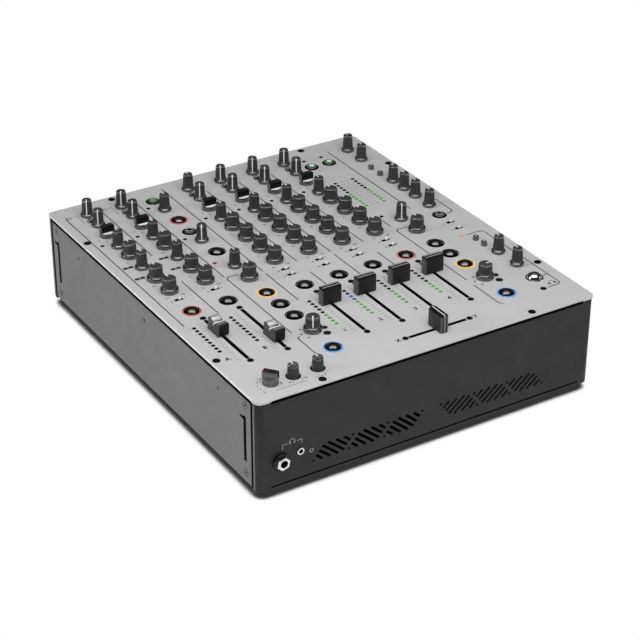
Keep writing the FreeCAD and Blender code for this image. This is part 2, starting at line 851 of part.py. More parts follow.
def side_panel(hand, sign):
    height = f"{SIDE_TOP} - {SIDE_BOTTOM}"
    length = f"{SIDE_HALF_LENGTH} * 2"
    middle = f"({SIDE_FACE} - Size.sheet_thickness / 2) * {sign}"
    plate = box(f"{hand}_plate", "Size.sheet_thickness", length, height, middle, "0", SIDE_BOTTOM)
    inward = f"({SIDE_FACE} - Size.side_flange / 2) * {sign}"
    low = f"{SIDE_TOP} - Size.sheet_thickness"
    flange = box(f"{hand}_flange", "Size.side_flange", length, "Size.sheet_thickness", inward, "0", low)
    tools = []
    for end, way in (("front", -1), ("rear", 1)):
        y = along(f"Size.side_slot_y * {way}")
        foot = f"{TOP} - Size.side_slot_drop - Size.side_slot_length"
        slot = (THROUGH_SHEET, "Size.side_slot_width", "Size.side_slot_length", middle, y, foot)
        tools.append(box(f"{hand}_{end}_slot", *slot))
        bar = box(f"{hand}_{end}_bar", THROUGH_SHEET, "Size.side_hook_length", "Size.side_hook_width")
        hook = turn(gather(f"{hand}_{end}_hook", [bar]), X_AXIS, "Size.side_hook_angle")
        hook_y = f"{y} + Size.side_hook_length / 3"
        hook_z = f"{TOP} - Size.side_slot_drop - Size.side_hook_width * 1.5"
        tools.append(place(hook, middle, hook_y, hook_z))
    node(f"{hand}_side_panel", cut(f"{hand}_side_cut", fuse(f"{hand}_folded", [plate, flange]), tools))


def base_plate():
    depth = f"({REAR_FACE} - {FRONT_FACE} - Size.sheet_thickness * 2)"
    plate = ("Size.sheet_thickness", "0", "0", "Size.feet_height")
    node("base_plate", box("floor", f"{SIDE_INNER} * 2", depth, *plate))


def feet():
    pads = []
    for hand, sign in SIDES.items():
        for end, way in (("front", -1), ("rear", 1)):
            spot = across(f"Size.foot_x * {sign}"), along(f"Size.foot_y * {way}")
            pad_size = ("Size.foot_radius", "Size.feet_height")
            pads.append(prism(f"{hand}_{end}_foot", ROUND_SIDES, *pad_size, *spot))
    node("feet", gather("four_feet", pads))


def screws():
    heads = []

    def top_head(name, radius, x, y):
        heads.append(prism(name, HEX_SIDES, radius, "Size.screw_head", x, y, TOP))

    def side_head(name, sign, radius, y, z):
        head = turn(prism(name, HEX_SIDES, radius, "Size.side_head"), Y_AXIS, f"90 * {sign}")
        heads.append(place(head, f"{SIDE_FACE} * {sign}", y, z))

    for hand, sign in SIDES.items():
        for end, way in (("front", -1), ("rear", 1)):
            for kind in ("fascia", "edge"):
                x = across(f"Size.{kind}_screw_x * {sign}")
                y = along(f"Size.{kind}_screw_y * {way}")
                top_head(f"{kind}_{hand}_{end}", "Size.screw_radius", x, y)
            for level, z in (
                ("high", f"{TOP} - Size.side_screw_drop"),
                ("low", "Size.feet_height + Size.side_screw_rise"),
            ):
                y = along(f"Size.side_screw_y * {way}")
                side_head(f"side_{hand}_{end}_{level}", sign, "Size.side_screw_radius", y, z)
        for number in (-1, 0, 1):
            y = along(f"Size.side_pin_y * {number}")
            z = f"{TOP} - Size.side_pin_drop"
            side_head(f"pin_{hand}_{number + 2}", sign, "Size.side_pin_radius", y, z)
    for way in (-1, 1):
        reach = f"({SLOT_LENGTH} / 2 + Size.fader_screw_margin) * {way}"
        for name, x, y, _ in fader_places():
            top_head(f"{name}_screw_{way + 2}", "Size.fader_screw_radius", x, f"{y} + {reach}")
        reach = f"(Size.cross_slot_length / 2 + Size.fader_screw_margin) * {way}"
        cross_x, cross_y = CROSSFADER_PLACE
        top_head(f"cross_screw_{way + 2}", "Size.fader_screw_radius", f"{cross_x} + {reach}", cross_y)
    front_end = f"{FRONT_FACE} - Size.side_head"
    front_place = (across("Size.front_screw_x"), "Size.feet_height + Size.front_screw_rise")
    front_head = (HEX_SIDES, "Size.front_screw_radius", *front_place, front_end, FRONT_FACE)
    heads.append(deep_prism("front_screw", *front_head))
    node("screws", gather("screw_heads", heads))


# Controls


def knob_levels(kind, height):
    """The sections of a knob: its foot, the collar where the skirt ends, and its top."""
    return [
        (f"Size.{kind}_skirt_radius", "0"),
        (f"Size.{kind}_collar_radius", f"Size.{kind}_collar_height"),
        (f"Size.{kind}_top_radius", height),
    ]


def selector_body(name):
    base = prism(f"{name}_base", KNOB_SIDES, "Size.selector_radius", "Size.selector_base_height")
    grip_size = ("Size.selector_grip_length", "Size.selector_grip", "Size.selector_height")
    grip = box(f"{name}_grip", *grip_size)
    return fuse(name, [base, grip])


def with_shaft(body, name):
    """A knob on its shaft, which ends just above the potentiometer."""
    above_board = "Size.knob_lift + Size.fascia_thickness + Size.board_drop"
    length = f"{above_board} - Size.pot_height - Size.part_clearance"
    shaft = prism(f"{name}_shaft", HEX_SIDES, "Size.shaft_radius", length, z=f"-({length})")
    return fuse(name, [body, shaft])


def spread(label, pattern, places):
    return [copy_of(pattern, f"{label}_{name}", x, y, TOP) for name, x, y in places]


def knobs():
    fat_levels = knob_levels("fat", "Size.fat_height")
    fat_levels.insert(1, ("Size.fat_skirt_radius", "Size.fat_skirt_height"))
    fat = stacked("fat_knob", fat_levels)
    slim = stacked("slim_knob", knob_levels("slim", "Size.slim_height"))
    short = stacked("short_knob", knob_levels("slim", "Size.short_height"))
    selector = selector_body("selector")
    trim = prism("trim", HEX_SIDES, "Size.trim_radius", "Size.trim_height")
    master_trim = prism("master_trim", HEX_SIDES, "Size.trim_radius", "Size.master_trim_height")
    node("eq_knobs", gather("eq_set", spread("eq", fat, eq_places())))
    levels = spread("level", slim, slim_places()) + spread("level", short, short_places())
    node("level_knobs", gather("level_set", levels))
    node("source_selectors", gather("selector_set", spread("source", selector, selector_places())))
    trims = spread("trims", trim, trim_places()) + spread("trims", master_trim, master_trim_places())
    node("trim_knobs", gather("trim_set", trims))
    turning = [
        (with_shaft(fat, "fat_knob_on_shaft"), turning_fat_places()),
        (with_shaft(slim, "slim_knob_on_shaft"), turning_slim_places()),
    ]
    lifted = f"{TOP} + Size.knob_lift"
    for pattern, places in turning:
        for name, x, y in places:
            node(name, copy_of(pattern, f"{name}_piece", x, y, lifted))
    for name, x, y in turning_selector_places():
        piece = gather(f"{name}_piece", [with_shaft(selector, "selector_on_shaft")])
        node(name, place(turn(piece, Z_AXIS, "Size.curve_angle"), x, y, lifted))


def button_pattern(name, levels):
    """A cap on a stem that stops short of its switch by the travel, drawn with z = 0 on the fascia."""
    skirt = "-(Size.fascia_thickness + Size.button_skirt)"
    cap = stacked(f"{name}_cap", [(levels[0][0], skirt)] + levels)
    foot = (
        "-(Size.fascia_thickness + Size.board_drop - Size.key_switch_height"
        " - Size.button_travel - Size.part_clearance)"
    )
    stem = prism(f"{name}_stem", HEX_SIDES, "Size.stem_radius", f"{skirt} - {foot}", z=foot)
    return fuse(name, [cap, stem])


def buttons():
    dome_levels = [("Size.button_radius", "Size.button_edge_height")]
    dome_levels.append(("Size.button_brow_radius", "Size.button_height"))
    split_levels = [("Size.button_radius", "Size.split_button_edge_height")]
    split_levels.append(("Size.button_brow_radius", "Size.split_button_height"))
    small_levels = [("Size.small_button_radius", "Size.small_button_height")]
    patterns = [
        (button_pattern("dome_button", dome_levels), dome_places()),
        (button_pattern("split_button", split_levels), split_button_places()),
        (button_pattern("small_button", small_levels), small_button_places()),
    ]
    for pattern, places in patterns:
        for name, x, y in places:
            node(name, copy_of(pattern, f"{name}_piece", x, y, TOP))
    cone_levels = [("Size.bezel_radius", "0"), ("Size.bezel_top_radius", "Size.bezel_height")]
    cone = stacked("bezel_cone", cone_levels)
    hole = prism(
        "bezel_hole",
        KNOB_SIDES,
        "Size.small_button_radius + Size.button_gap",
        "Size.bezel_height * 3",
        z="-Size.bezel_height",
    )
    bezel = cut("bezel", cone, [hole])
    node("button_bezels", gather("bezel_set", spread("bezel", bezel, small_button_places())))


def fader_stem(name):
    height = "Size.cap_gap + Size.fascia_thickness + Size.fader_stem_reach"
    return box(name, "Size.fader_stem_width", "Size.fader_stem_length", height, z=f"-({height})")


def faders():
    slab = tapered_box(
        "slab", "Size.cap_width", "Size.cap_foot", "Size.cap_height", "Size.cap_width", "Size.cap_crest"
    )
    saddle_cap = tapered_box(
        "saddle_cap",
        "Size.dual_cap_width",
        "Size.dual_cap_length",
        "Size.dual_cap_height",
        "Size.dual_cap_crest_width",
        "Size.dual_cap_crest_length",
    )
    saddle = turn(cylinder("saddle", "Size.dual_saddle_radius", "Size.dual_cap_width * 2"), Y_AXIS, "90")
    saddle_z = "Size.dual_cap_height + Size.dual_saddle_radius - Size.dual_saddle_depth"
    place(saddle, "-Size.dual_cap_width", "0", saddle_z)
    scooped = cut("scooped_cap", saddle_cap, [saddle])
    stem = fader_stem("fader_stem")
    slab_fader = fuse("slab_fader", [slab, stem])
    scooped_fader = fuse("scooped_fader", [scooped, stem])
    cap_z = f"{TOP} + Size.cap_gap"
    for name, x, y, rest in fader_places():
        pattern = scooped_fader if name in ("fader_a", "fader_b") else slab_fader
        node(name, copy_of(pattern, f"{name}_piece", x, f"{y} + {rest}", cap_z))
    cross = turn(gather("crossfader_piece", [slab_fader]), Z_AXIS, "90")
    node("crossfader", place(cross, *CROSSFADER_PLACE, cap_z))


def fader_tracks():
    def track(name, slot_length):
        low = "-Size.track_height"
        case_length = f"{slot_length} + Size.track_margin * 2"
        case = box(f"{name}_case", "Size.track_width", case_length, "Size.track_height", z=low)
        groove_z = f"{low} + Size.track_floor"
        groove = box(f"{name}_groove", "Size.slot_width", slot_length, "Size.track_height", z=groove_z)
        return cut(name, case, [groove])

    long_track = track("long_track", SLOT_LENGTH)
    tracks = [copy_of(long_track, f"{name}_track", x, y, UNDER) for name, x, y, _ in fader_places()]
    short_track = track("cross_track", "Size.cross_slot_length")
    cross = turn(gather("crossfader_track", [short_track]), Z_AXIS, "90")
    tracks.append(place(cross, *CROSSFADER_PLACE, UNDER))
    node("fader_tracks", gather("track_set", tracks))


def lights():
    lamp = box("lamp", "Size.lamp_length", "Size.lamp_width", "Size.lamp_height")
    dot = prism("dot", HEX_SIDES, "Size.dot_radius", "Size.lamp_height")
    members = spread("meter", lamp, lamp_places()) + spread("light", dot, dot_places())
    node("indicator_leds", gather("light_set", members))


def slide_switches():
    plate = box("switch_plate", "Size.switch_length", "Size.switch_width", "Size.switch_plate")
    lever = box("switch_lever", "Size.switch_lever", "Size.switch_lever", "Size.switch_height")
    switch = fuse("slide_switch", [plate, lever])
    node("slide_switches", gather("switch_set", spread("slide", switch, switch_places())))


# Inside the case


def control_board():
    width = f"{SIDE_INNER} * 2 - Size.sheet_thickness * 2 - Size.board_margin * 2"
    depth = f"{REAR_FACE} * 2 - Size.wrap_depth * 2 - Size.board_margin * 2"
    low = f"{BOARD_TOP} - Size.board_thickness"
    members = [box("board", width, depth, "Size.board_thickness", "0", "0", low)]
    for hand, sign in SIDES.items():
        for row in ("standoff_y", "standoff_mid_y"):
            for way in (-1, 1):
                spot = (across(f"Size.standoff_x * {sign}"), along(f"Size.{row} * {way}"), BOARD_TOP)
                post = ("Size.standoff_radius", "Size.board_drop")
                members.append(prism(f"{row}_{hand}_{way + 2}", HEX_SIDES, *post, *spot))
    size = "Size.key_switch_size"
    for name, x, y in dome_places() + split_button_places() + small_button_places():
        members.append(box(f"{name}_key", size, size, "Size.key_switch_height", x, y, BOARD_TOP))
    node("control_board", gather("board_set", members))


def potentiometers():
    large = eq_places() + slim_places() + short_places() + selector_places()
    large += turning_fat_places() + turning_slim_places() + turning_selector_places()
    members = []
    trims = trim_places() + master_trim_places()
    for places, size in ((large, "Size.pot_size"), (trims, "Size.trim_pot_size")):
        for name, x, y in places:
            members.append(box(f"{name}_pot", size, size, "Size.pot_height", x, y, BOARD_TOP))
    node("potentiometers", gather("pot_set", members))


def power_supply():
    sizes = ("Size.supply_length", "Size.supply_width", "Size.supply_height")
    spot = (across("Size.supply_x"), along("Size.supply_y"), FLOOR_TOP)
    node("power_supply", box("supply", *sizes, *spot))


# The rear face

INLET_BODY = [f"Size.inlet_{side} - Size.inlet_body_margin * 2" for side in ("width", "height")]
INLET_X = across("Size.inlet_x")
MAIN_OUTS = [across(f"Size.main_out_x + Size.main_out_pitch * {step}") for step in range(2)]
LINES = [
    (across(f"Size.line_x + Size.line_pitch * {step}"), f"{REAR_Z} + Size.line_row_pitch / 2 * {way}")
    for step in range(2)
    for way in (-1, 1)
]
PHONO_X = [across(f"Size.phono_x + Size.phono_pitch * {step}") for step in range(4)]
PHONO_Z = f"{REAR_Z} + Size.phono_rise"
DATA_Z = f"({REAR_Z} - Size.data_drop)"
DATA_PORTS = [
    ("usb_one", "usb", PHONO_X[0], "Size.usb_hollow", "Size.usb_hollow"),
    ("usb_two", "usb", PHONO_X[1], "Size.usb_hollow", "Size.usb_hollow"),
    ("link", "link", PHONO_X[2], "Size.link_hollow_width", "Size.link_hollow_height"),
]
THROUGH_REAR = (f"{REAR_FACE} - {THROUGH_SHEET}", f"{REAR_FACE} + {THROUGH_SHEET}")


def rear_panel():
    room = "Size.part_clearance * 2"
    inlet_size = [f"{side} + {room}" for side in INLET_BODY]
    tools = [deep_box("inlet_cutout", *inlet_size, INLET_X, REAR_Z, *THROUGH_REAR)]
    for number, x in enumerate(MAIN_OUTS):
        hole = "Size.main_out_radius + Size.part_clearance"
        tools.append(deep_prism(f"main_out_hole_{number}", ROUND_SIDES, hole, x, REAR_Z, *THROUGH_REAR))
    for number, (x, z) in enumerate(LINES):
        hole = "Size.jack_neck_radius + Size.part_clearance"
        tools.append(deep_prism(f"line_hole_{number}", KNOB_SIDES, hole, x, z, *THROUGH_REAR))
    for name, kind, x, _, _ in DATA_PORTS:
        sizes = f"Size.{kind}_width + {room}", f"Size.{kind}_height + {room}"
        tools.append(deep_box(f"{name}_cutout", *sizes, x, DATA_Z, *THROUGH_REAR))
    end_panel("rear_panel", 1, tools)


def mains_inlet():
    front = f"{REAR_FACE} - Size.inlet_body_depth"
    outer = f"{REAR_FACE} + Size.socket_flange"
    flange_size = "Size.inlet_width", "Size.inlet_height"
    flange = deep_box("inlet_flange", *flange_size, INLET_X, REAR_Z, REAR_FACE, outer)
    body = deep_box("inlet_body", *INLET_BODY, INLET_X, REAR_Z, front, REAR_FACE)
    beyond = f"{outer} + Size.socket_flange"
    body_edge = "(Size.inlet_width / 2 - Size.inlet_body_margin - Size.inlet_wall)"
    hollow_x = f"{INLET_X} - {body_edge} + Size.inlet_hollow_width / 2"
    hollow_size = "Size.inlet_hollow_width", "Size.inlet_hollow_height"
    hollow_end = f"{outer} - Size.inlet_hollow_depth"
    hollow = deep_box("inlet_hollow", *hollow_size, hollow_x, REAR_Z, hollow_end, beyond)
    pocket_width = "Size.rocker_width + Size.rocker_side_room * 2"
    pocket_height = "Size.rocker_height + Size.rocker_room * 2"
    pocket_x = f"{INLET_X} + {body_edge} - ({pocket_width}) / 2"
    pocket_end = f"{outer} - Size.rocker_pocket"
    pocket = deep_box("rocker_pocket", pocket_width, pocket_height, pocket_x, REAR_Z, pocket_end, beyond)
    node("mains_inlet", cut("inlet_cut", fuse("inlet_solid", [flange, body]), [hollow, pocket]))
    size = "Size.rocker_width", "Size.rocker_height"
    inner = "Size.rocker_crown - Size.rocker_depth"
    block = deep_box("rocker_block", *size, "0", "0", inner, "Size.rocker_crown")
    rocker = turn(gather("rocker_piece", [block]), X_AXIS, "Size.rocker_tilt")
    node("power_rocker", place(rocker, pocket_x, f"{outer} - Size.rocker_sink", REAR_Z))


def line_sockets():
    sockets = []
    outer = f"{REAR_FACE} + Size.socket_flange"
    for number, x in enumerate(MAIN_OUTS):
        flange_size = "Size.main_out_width", "Size.main_out_height"
        flange = deep_box(f"main_out_flange_{number}", *flange_size, x, REAR_Z, REAR_FACE, outer)
        shell_size = (ROUND_SIDES, "Size.main_out_radius", x, REAR_Z)
        shell_end = f"{REAR_FACE} - Size.main_out_depth"
        shell = deep_prism(f"main_out_shell_{number}", *shell_size, shell_end, REAR_FACE)
        solid = fuse(f"main_out_solid_{number}", [flange, shell])
        bore_size = (ROUND_SIDES, "Size.main_out_bore", x, REAR_Z)
        bore_end = f"{outer} - Size.main_out_bore_depth"
        bore = deep_prism(f"main_out_bore_{number}", *bore_size, bore_end, f"{outer} + Size.socket_flange")
        sockets.append(cut(f"main_out_{number}", solid, [bore]))
    for number, (x, z) in enumerate(LINES):
        inner = f"{REAR_FACE} - Size.sheet_thickness"
        mouth = f"{REAR_FACE} + Size.line_nut_height"
        end = f"{inner} - Size.jack_body_depth"
        width = "Size.jack_body_width"
        pieces = [
            deep_prism(f"line_nut_{number}", HEX_SIDES, "Size.line_nut_radius", x, z, REAR_FACE, mouth),
            deep_prism(f"line_neck_{number}", KNOB_SIDES, "Size.jack_neck_radius", x, z, inner, REAR_FACE),
            deep_box(f"line_body_{number}", width, width, x, z, end, inner),
        ]
        bore_size = (KNOB_SIDES, "Size.line_bore_radius", x, z)
        bore_end = f"{end} + Size.sheet_thickness"
        bore = deep_prism(f"line_bore_{number}", *bore_size, bore_end, f"{mouth} + Size.sheet_thickness")
        sockets.append(cut(f"line_{number}", fuse(f"line_solid_{number}", pieces), [bore]))
    for name, kind, x, hollow_width, hollow_height in DATA_PORTS:
        mouth = f"{REAR_FACE} + Size.data_reach"
        size = f"Size.{kind}_width", f"Size.{kind}_height"
        shell = deep_box(f"{name}_shell", *size, x, DATA_Z, f"{REAR_FACE} - Size.data_depth", mouth)
        hollow_size = (hollow_width, hollow_height, x, DATA_Z)
        hollow_end = f"{mouth} - Size.data_depth + Size.sheet_thickness"
        hollow = deep_box(f"{name}_hollow", *hollow_size, hollow_end, f"{mouth} + Size.sheet_thickness")
        sockets.append(cut(name, shell, [hollow]))
    node("line_sockets", gather("line_socket_set", sockets))


def phono_sockets():
    members = []
    face = f"{REAR_FACE} + Size.phono_face"
    for block, x in enumerate(PHONO_X):
        size = "Size.phono_plate", "Size.phono_plate"
        members.append(deep_box(f"phono_plate_{block}", *size, x, PHONO_Z, REAR_FACE, face))
        for hand, sign in SIDES.items():
            for way in (-1, 1):
                barrel_x = f"{x} + Size.phono_spread / 2 * {sign}"
                barrel_z = f"{PHONO_Z} + Size.phono_spread / 2 * {way}"
                barrel = (KNOB_SIDES, "Size.phono_radius", barrel_x, barrel_z, face, REAR_REACH)
                members.append(deep_prism(f"phono_{block}_{hand}_{way + 2}", *barrel))
    node("phono_sockets", gather("phono_set", members))


def check_document():
    doc.recompute()
    for piece in doc.Objects:
        if "Invalid" in piece.State or "Error" in piece.State:
            raise ValueError(f"{piece.Name} failed: {piece.State}")
    for piece in nodes:
        shape = piece.Shape
        if shape.isNull() or not shape.isValid() or not shape.Solids:
            raise ValueError(f"{piece.Label} has no valid solid")


def write_parts():
    os.makedirs("parts", exist_ok=True)
    for piece in nodes:
        solids = piece.Shape.Solids
        shape = solids[0] if len(solids) == 1 else Part.makeCompound(solids)
        shape.exportStep(os.path.join("parts", f"{piece.Label}.step"))


fill_sheet()
fascia()
front_panel()
rear_panel()
base_plate()
for side_name, side_sign in SIDES.items():
    side_panel(side_name, side_sign)
feet()
screws()
headphone_jacks()
control_board()
potentiometers()
fader_tracks()
power_supply()
mains_inlet()
line_sockets()
phono_sockets()
lights()
slide_switches()
knobs()
buttons()
faders()
check_document()
write_parts()
print(len(nodes), "sub-parts written")
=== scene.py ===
import math

import bmesh
import bpy
from bpy.props import FloatProperty, FloatVectorProperty, IntProperty, PointerProperty
from mathutils import Matrix, Vector


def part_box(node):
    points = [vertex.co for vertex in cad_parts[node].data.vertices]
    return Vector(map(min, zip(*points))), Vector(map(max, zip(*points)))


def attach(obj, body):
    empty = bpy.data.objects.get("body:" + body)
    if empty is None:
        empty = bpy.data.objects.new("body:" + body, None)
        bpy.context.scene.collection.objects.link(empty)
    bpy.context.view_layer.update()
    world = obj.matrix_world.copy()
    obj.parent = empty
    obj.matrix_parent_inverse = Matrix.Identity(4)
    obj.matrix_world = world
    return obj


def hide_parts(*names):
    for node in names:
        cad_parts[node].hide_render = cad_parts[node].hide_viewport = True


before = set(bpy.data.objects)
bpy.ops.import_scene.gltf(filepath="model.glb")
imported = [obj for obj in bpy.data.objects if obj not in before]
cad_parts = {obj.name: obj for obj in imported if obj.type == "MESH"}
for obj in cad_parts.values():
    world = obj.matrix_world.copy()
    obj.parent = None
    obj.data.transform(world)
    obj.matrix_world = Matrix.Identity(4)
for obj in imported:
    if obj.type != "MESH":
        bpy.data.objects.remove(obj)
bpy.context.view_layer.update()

bl_info = {
    "name": "Six-channel mixer looks",
    "version": (1, 0, 0),
    "blender": (4, 5, 0),
    "location": "View3D > Sidebar > Mixer",
    "description": "Builds the finishes, controls, lights and stage of a table-top mixer round its frame",
    "category": "Object",
}

MM = 0.001
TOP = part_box("fascia")[1].z / MM
CASE = "case"
SHARP = math.radians(38)
QUARTER = math.radians(90)

# Ways that a knob's pointer faces
BACK = QUARTER
RIGHT = 0.0
VIEWER = math.radians(240)
CURVE_TURN = math.radians(130)

# Heights of the knobs and of their raised pointer lines, and the gap under a fader cap, in millimetres
SLIM_HEIGHT, FAT_HEIGHT, SELECTOR_HEIGHT = 16.0, 13.3, 10.7
POINTER_RISE = 0.06
CAP_LIFT = 0.5

# Finishes of a knob after its gloss, as knob_finishes lists them, the rim being a painted highlight, and of
# the fascia's print after its ink
POINTER, CROWN, RIM_HIGHLIGHT, FOOT, RUBBED, GRIP = range(1, 7)
PALE, WHITE = 1, 2

# Heights of the channel names and the small figures
NAME_SIZE, FIGURE_SIZE = 4.2, 1.9

# Bottom and top of the print on the front and rear panels
PANEL_INK = (-0.02, 0.05)

# Thickness of a headphone socket's floor, and the depth of the fine grain in metres
JACK_FLOOR = 8
GRAIN_DEPTH = 0.0002

# Columns of the control grid, in millimetres from the middle of the fascia
COLUMNS = {"a": -134.0, "b": -100.5, "1": -33.5, "2": 0.0, "3": 33.5, "4": 67.0}
OUTER = ("a", "b")
INNER = ("1", "2", "3", "4")

# Lamps of each meter from its far end: unlit, blue and green
METERS = {
    "a": "---------",
    "b": "---------",
    "1": "-----gggg",
    "2": "--bbggggg",
    "3": "----ggggg",
    "4": "-----gggg",
}
MIX_METER = "-----gggggg"
LAMP_STATES = {"-": "dark", "g": "green", "b": "indigo"}
METER_RADIUS, STATUS_RADIUS, SPLIT_RADIUS = 1.72, 1.8, 2.7

# How far a meter stands left of its column, and the gap that ends a run of lamps
METER_SHIFT, LAMP_GAP = 11.8, 6

# Columns of the mix meter, and the side of each that its scale is on
MIX_COLUMNS = ((88.9, 1), (107.7, -1))

# Places of the status lights that are lit or large
RUBY_LIGHT, RED_LIGHT, SPLIT_LIGHT = (-79.3, 26), (127, -42), (130.5, -153.3)

# Front and right ends of the send knobs, the height under which a knob is short, and the knobs that differ
SEND_ROW, SEND_END, SHORT_LIMIT = 130, 80, 14
NOTCHED_SENDS = ((-31, 161.5), (-68.3, 136))
LINED_LEVELS = ((-68.3, 67.7), (101, 11.9))

CHROME_BUTTON = "headphone_split_button"
LIT_DOMES = {
    "cue_button_a": "red",
    "cue_button_4": "red",
    "send_one_cue_button": "red",
    "filter_one_high_button": "amber",
    "filter_two_low_button": "amber",
    "filter_one_on_button": "blue",
    "filter_two_on_button": "blue",
}
LIT_SMALL = {"send_one_button": "green", "mix_left_button": "mint", "mix_right_button": "mint"}
SMALL_BUTTONS = (
    "send_one_button", "send_two_button", "mix_left_button", "mix_right_button", "monitor_button",
)
DOME_BUTTONS = tuple(
    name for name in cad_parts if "_button" in name and name not in SMALL_BUTTONS + ("button_bezels",)
)
TURNING_FAT = {
    "filter_one_frequency_knob": ("line", VIEWER),
    "filter_one_resonance_knob": ("notch", BACK),
    "filter_two_frequency_knob": ("line", RIGHT),
    "filter_two_resonance_knob": ("notch", BACK),
}
TURNING_SLIM = ("master_level_knob", "headphone_level_knob")
SLAB_FADERS = ("fader_1", "fader_2", "fader_3", "fader_4")
SADDLE_FADERS = ("fader_a", "fader_b")

# Lines between the strips, and the dots (dx, dy, radius) round each filter's frequency knob
PRINTED_LINES = [
    [(-151, 165), (-151, -55)],
    [(-117.5, 165), (-117.5, 65)],
    [(-117.5, 12), (-117.5, -50)],
    [(-84, 165), (-84, 0)],
    [(-72, -1.5), (-81, -1.5), (-83.5, -4), (-83.5, -108)],
    [(-80.5, -115.5), (-83.5, -117.5), (-83.5, -146)],
    [(-51.3, 175), (-51.3, -8)],
    [(-51.3, -12), (-51.3, -65)],
    [(-18, 150), (-18, -7)],
    [(-18, -29), (-18, -55)],
    [(15.5, 150), (15.5, -7)],
    [(15.5, -12), (15.5, -55)],
    [(49, 150), (49, -7)],
    [(49, -29), (49, -55)],
    [(85, 18), (85, 5)],
    [(97, -2.5), (87, -2.5), (85, -4.5), (85, -57)],
    [(85, -75), (85, -109)],
    [(85, -119), (85, -154), (88, -156.5)],
    [(119, 165), (119, 25)],
    [(149, 30), (149, 4), (147, 1.5), (142, 1)],
    [(132, -42), (147, -42), (149, -44), (149, -151), (146, -153.3), (135, -153.5)],
]
SWEEP_DOTS = ((-8.5, -8.2, 0.9), (-11, -1, 0.9), (-8, 6, 0.9), (10.5, -0.9, 2.6), (7.8, -9.4, 3.2))


def linear(*levels):
    """Screen levels from 0 to 255 as the linear colour that the sockets take."""
    shares = [level / 255 for level in levels]
    return tuple(s / 12.92 if s <= 0.04045 else ((s + 0.055) / 1.055) ** 2.4 for s in shares)


def colour_property(name, description, *levels):
    return FloatVectorProperty(
        name=name, description=description, subtype="COLOR", size=3, min=0.0, max=1.0, default=linear(*levels)
    )


def size_property(name, description, default):
    return FloatProperty(name=name, description=description, default=default, min=0.0, precision=3)


def power_property(name, description, default):
    return FloatProperty(name=name, description=description, default=default, unit="POWER")


def angle_property(name, description, degrees):
    return FloatProperty(name=name, description=description, default=math.radians(degrees), subtype="ANGLE")


class CaseLooks(bpy.types.PropertyGroup):
    silver: colour_property("Fascia silver", "Painted silver of the control fascia", 199, 199, 199)
    charcoal: colour_property("Charcoal", "Powder coat of the front and rear panels", 42, 42, 42)
    side: colour_property("Side grey", "Paint of the side panels", 122, 122, 123)
    steel: colour_property("Dark steel", "Black steel of the base and inside", 24, 24, 25)
    edge: size_property("Edge", "Rounding of the sheet edges, in millimetres", 0.45)


class KnobLooks(bpy.types.PropertyGroup):
    rubber: colour_property("Knob grey", "Soft dark grey of the knobs", 28, 28, 30)
    pointer: colour_property("Pointer", "White of the pointer lines", 236, 236, 234)
    selector_tick: colour_property("Selector tick", "Dark red tick of the selectors", 70, 14, 24)
    flutes: IntProperty(name="Flutes", description="Grip flutes round a knob", default=16, min=6, max=40)
    flute_depth: size_property("Flute depth", "Depth of a grip flute, in millimetres", 0.42)


class ButtonLooks(bpy.types.PropertyGroup):
    black: colour_property("Button black", "Gloss black of the buttons", 8, 8, 9)
    red: colour_property("Red light", "Glow of a red ring", 206, 112, 112)
    amber: colour_property("Amber light", "Glow of an amber ring", 244, 206, 104)
    blue: colour_property("Blue light", "Glow of a blue ring", 104, 172, 230)
    green: colour_property("Green light", "Glow of a green lamp", 72, 132, 60)
    ruby: colour_property("Ruby light", "Glow of a red status lamp", 104, 24, 26)
    indigo: colour_property("Indigo light", "Glow of a blue meter lamp", 42, 78, 120)
    mint: colour_property("Mint light", "Glow of a pale green lamp", 150, 205, 150)
    glow: size_property("Glow", "Emission strength of the lights", 0.6)


class FaderLooks(bpy.types.PropertyGroup):
    black: colour_property("Cap black", "Matt black of the fader caps", 30, 30, 31)
    silver: colour_property("Cap silver", "Silver of the saddle caps", 206, 207, 209)
    ridges: IntProperty(name="Ridges", description="Grip ridges on a slab cap", default=2, min=2, max=8)


class PrintLooks(bpy.types.PropertyGroup):
    ink: colour_property("Ink", "Dark print on the fascia", 22, 22, 24)
    pale: colour_property("Pale ink", "Light grey print of the fader scales", 138, 139, 141)
    line: size_property("Line", "Width of the printed lines, in millimetres", 0.9)
    thickness: size_property("Thickness", "Height of the ink, in millimetres", 0.05)


class StageLooks(bpy.types.PropertyGroup):
    floor: colour_property("Floor", "Pale floor", 250, 250, 250)
    shade: FloatProperty(
        name="Contact shade", description="Reach of the shade round the feet", default=0.011, unit="LENGTH",
    )
    horizon: size_property("Horizon", "Strength of the surround near the floor", 0.03)
    zenith: size_property("Zenith", "Strength of the surround overhead", 0.2)
    key: power_property("Key light", "Power of the soft light in front", 6.0)
    top: power_property("Top light", "Power of the light overhead", 7.2)
    fill: power_property("Fill light", "Power of the side fill", 6.5)
    strip: power_property("Right strip", "Power of the small light at the right", 1.5)
    lens: FloatProperty(name="Lens", description="Focal length of the camera", default=108.17, unit="CAMERA")
    yaw: angle_property("Yaw", "Turn of the camera", -31.733)
    pitch: angle_property("Pitch", "Fall of the camera", 29.872)
    roll: angle_property("Roll", "Roll of the camera", 0.171)
    place: FloatVectorProperty(
        name="Camera place", description="Where the camera stands", subtype="TRANSLATION", unit="LENGTH",
        default=(-0.75314, -1.23338, 0.85208),
    )


# Reading the frame


def node_box(node):
    low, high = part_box(node)
    return low / MM, high / MM


